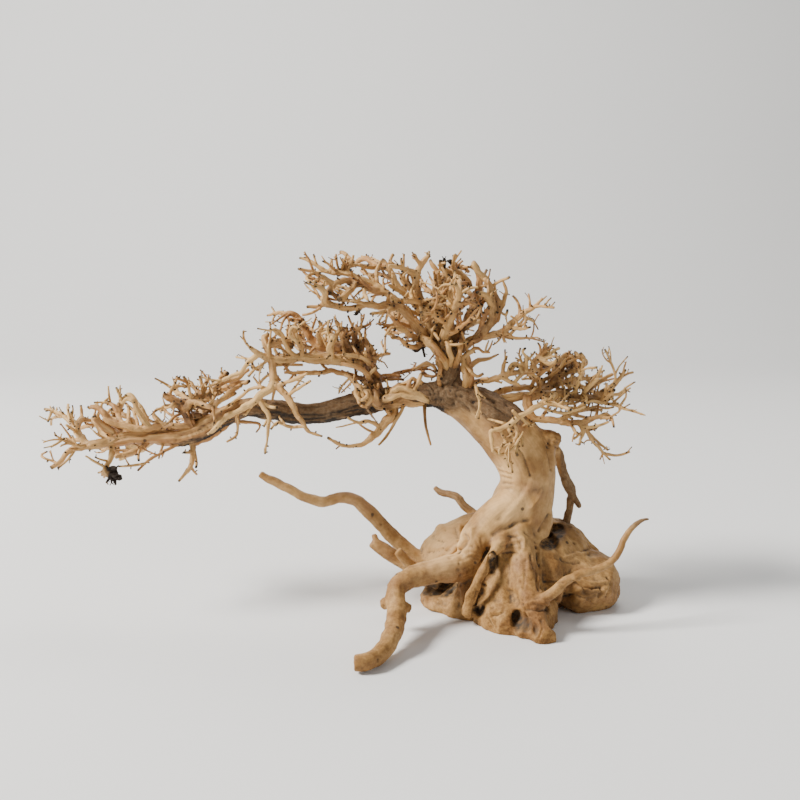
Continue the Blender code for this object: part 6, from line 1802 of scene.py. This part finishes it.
def stained_and_shaded_wood(shader, colour, place, stain_and_shade):
    """The low wood darkened towards the bottom, with painted shade and blotchy stain on the burl's front, and
    grime in fine patches.
    """
    colour = shader.mix(stain_and_shade, colour, shader.mix(1.0, colour, STAIN_AND_SHADE_TINT, "MULTIPLY"))
    grime = shader.ramp(shader.noise(place, 520.0, 6.0, 0.75), 0.40, 0.58)
    grimy = shader.mix(1.0, colour, shader.mix(grime, GRIME_DIM, GRIME_BRIGHT), "MULTIPLY")
    return shader.mix(shader.times(stain_and_shade, 0.9, clamp=True), colour, grimy)


def bundled_strands(shader, grain):
    """Orange and tan strands side by side, where the bough's end has split into a bundle."""
    bands = shader.noise(shader.stretched(grain, (1.0, 1.0, 0.08)), 260.0, 2.0)
    return shader.mix(shader.ramp(bands, 0.44, 0.62), TWIG_ORANGE, TWIG_TAN)


def charred_dirty_and_shaded(shader, colour, place):
    """Black cracks and painted shade under the bough, and dirt with painted shade in the hollows."""
    # Painted shade under the bough, as black cracks in its bark.
    crack_noise = shader.noise(shader.stretched(place, (1.0, 1.0, 3.0)), 75.0, 4.0, 0.6)
    charred = shader.times(shader.share_of("char_and_shade"), shader.ramp(crack_noise, 0.36, 0.52))
    colour = shader.mix(charred, colour, CHAR_AND_SHADE)
    # Dirt and painted shade in the hollows.
    dirt_and_shade_noise = shader.ramp(shader.noise(place, 330.0, 4.0), 0.30, 0.62)
    patchy = shader.plus(0.45, shader.times(dirt_and_shade_noise, 0.6))
    dirt_and_shade_mix = shader.times(shader.share_of("hollow_dirt_and_shade"), patchy, clamp=True)
    return shader.mix(dirt_and_shade_mix, colour, DIRT_AND_SHADE)


def add_bump(shader, surface, height, strength, distance):
    """Raise the surface's small relief by a bump of that many millimetres."""
    given = {"Strength": strength, "Distance": distance * MM, "Height": height}
    shader.feed(surface.inputs["Normal"], shader.add("ShaderNodeBump", given).outputs["Normal"])


def twig_wood_material(group):
    """Orange-tan twigs, some of them cream, with painted shade and some brown in the thick, dark knots and
    ends.
    """
    material, shader, surface = new_material("orange_twig_wood")
    pattern, place, _ = pattern_in(shader, group, 0.5, 9.0, 4.2)
    shade = shader.share_of("shade")
    tip = shader.share_of("tip")
    warm = shader.plus(shade, shader.times(pattern["Patch"], 0.8))
    colour = shader.mix(shader.ramp(warm, 0.35, 0.95), TWIG_ORANGE, TWIG_TAN)
    colour = shader.mix(shader.ramp(warm, 0.85, 1.45), colour, TWIG_CREAM)
    fibre = shader.mix(shader.ramp(pattern["Fibre"], 0.30, 0.62), TWIG_FIBRE_DIM, TWIG_FIBRE_BRIGHT)
    colour = shader.mix(0.6, colour, fibre, "MULTIPLY")
    # Painted shade, with some brown bark, where the wood crowds: less on pale limbs.
    thick_shade_noise = shader.ramp(shader.noise(place, 190.0, 3.0), 0.34, 0.60)
    thick_shade = shader.times(shader.plus(0.25, thick_shade_noise), shader.share_of("crowding"))
    thick_shade = shader.times(thick_shade, shader.maths("SUBTRACT", 1.25, shade))
    colour = shader.mix(shader.times(thick_shade, 0.68, clamp=True), colour, TWIG_SHADE_BROWN)
    colour = shader.mix(tip, colour, TWIG_TIP)
    # Dirt and painted shade in the hollows.
    colour = shader.mix(shader.times(shader.share_of("hollow_dirt_and_shade"), 0.65), colour, DIRT_AND_SHADE)
    colour = shader.mix(shader.times(pattern["Speck"], 0.9), colour, BLACK_KNOT)
    shader.feed(surface.inputs["Base Color"], colour)
    shader.feed(surface.inputs["Roughness"], shader.plus(0.52, shader.times(tip, 0.4)))
    surface.inputs["Specular IOR Level"].default_value = 0.3
    add_bump(shader, surface, pattern["Relief"], 0.55, 0.35)
    return material


def make_floor():
    """A pale sheet that curves up behind the object, far away on every side."""
    work = bmesh.new()
    half_width, front, bend_start, bend_radius, top = 3.5, -3.5, 1.5, 0.9, 4.0
    profile = [(front, 0.0)]
    for step in range(9):
        angle = math.radians(90.0 * step / 8)
        profile.append((bend_start + bend_radius * math.sin(angle), bend_radius * (1 - math.cos(angle))))
    profile.append((bend_start + bend_radius, top))
    ends = [work.verts.new((-half_width, y, z - FLOOR_GAP)) for y, z in profile]
    rim = [work.edges.new(pair) for pair in zip(ends, ends[1:])]
    grown = bmesh.ops.extrude_edge_only(work, edges=rim)["geom"]
    bmesh.ops.translate(work, vec=(2 * half_width, 0, 0),
                        verts=[part for part in grown if isinstance(part, bmesh.types.BMVert)])
    mesh = finished_mesh(work, "floor")
    mesh.shade_smooth()
    material, _, surface = new_material("pale_floor")
    surface.inputs["Base Color"].default_value = (0.80, 0.80, 0.79, 1)
    surface.inputs["Roughness"].default_value = 0.85
    mesh.materials.append(material)
    floor = placed("floor", mesh)


def add_area_light(name, place, size, power, colour):
    """A round soft light that points at the object's middle."""
    light = bpy.data.lights.new(name, "AREA")
    light.shape = "DISK"
    light.size = size
    light.energy = power
    light.color = colour
    holder = placed(name, light)
    holder.location = place
    holder.rotation_euler = (Vector(LIT_PLACE) - Vector(place)).to_track_quat("-Z", "Y").to_euler()


def light_and_camera():
    add_area_light("soft_left", (-2.35, -0.58, 2.05), 0.9, 212.0, (1.0, 0.97, 0.93))
    add_area_light("soft_right", (2.0, -1.6, 1.2), 1.6, 12.0, (0.95, 0.97, 1.0))
    add_area_light("soft_back", (0.3, 1.2, 2.2), 1.2, 22.0, (1.0, 0.98, 0.95))
    world = bpy.data.worlds.new("studio")
    world.use_nodes = True
    sky = world.node_tree.nodes["Background"]
    sky.inputs["Color"].default_value = (0.90, 0.92, 0.94, 1)
    sky.inputs["Strength"].default_value = 0.28
    bpy.context.scene.world = world
    lens = bpy.data.cameras.new("camera")
    lens.lens = FOCAL_LENGTH
    lens.sensor_width = SENSOR_WIDTH
    camera = placed("camera", lens)
    camera.location = EYE * MM
    camera.rotation_euler = (math.radians(90.0 - LOOKING_DOWN), 0.0, 0.0)
    bpy.context.scene.camera = camera


def main():
    noise.seed_set(CROOK_SEED)
    light_and_camera()
    make_floor()
    group = wood_pattern_group()
    tan_wood = tan_wood_material(group)
    twig_wood = twig_wood_material(group)
    make_trunk(tan_wood)
    limbs = grow_limbs()
    mark_crowding([route for stems, twigs in limbs.values() for route in stems + twigs])
    for name, limb in limbs.items():
        make_limb(name, limb, twig_wood)


main()
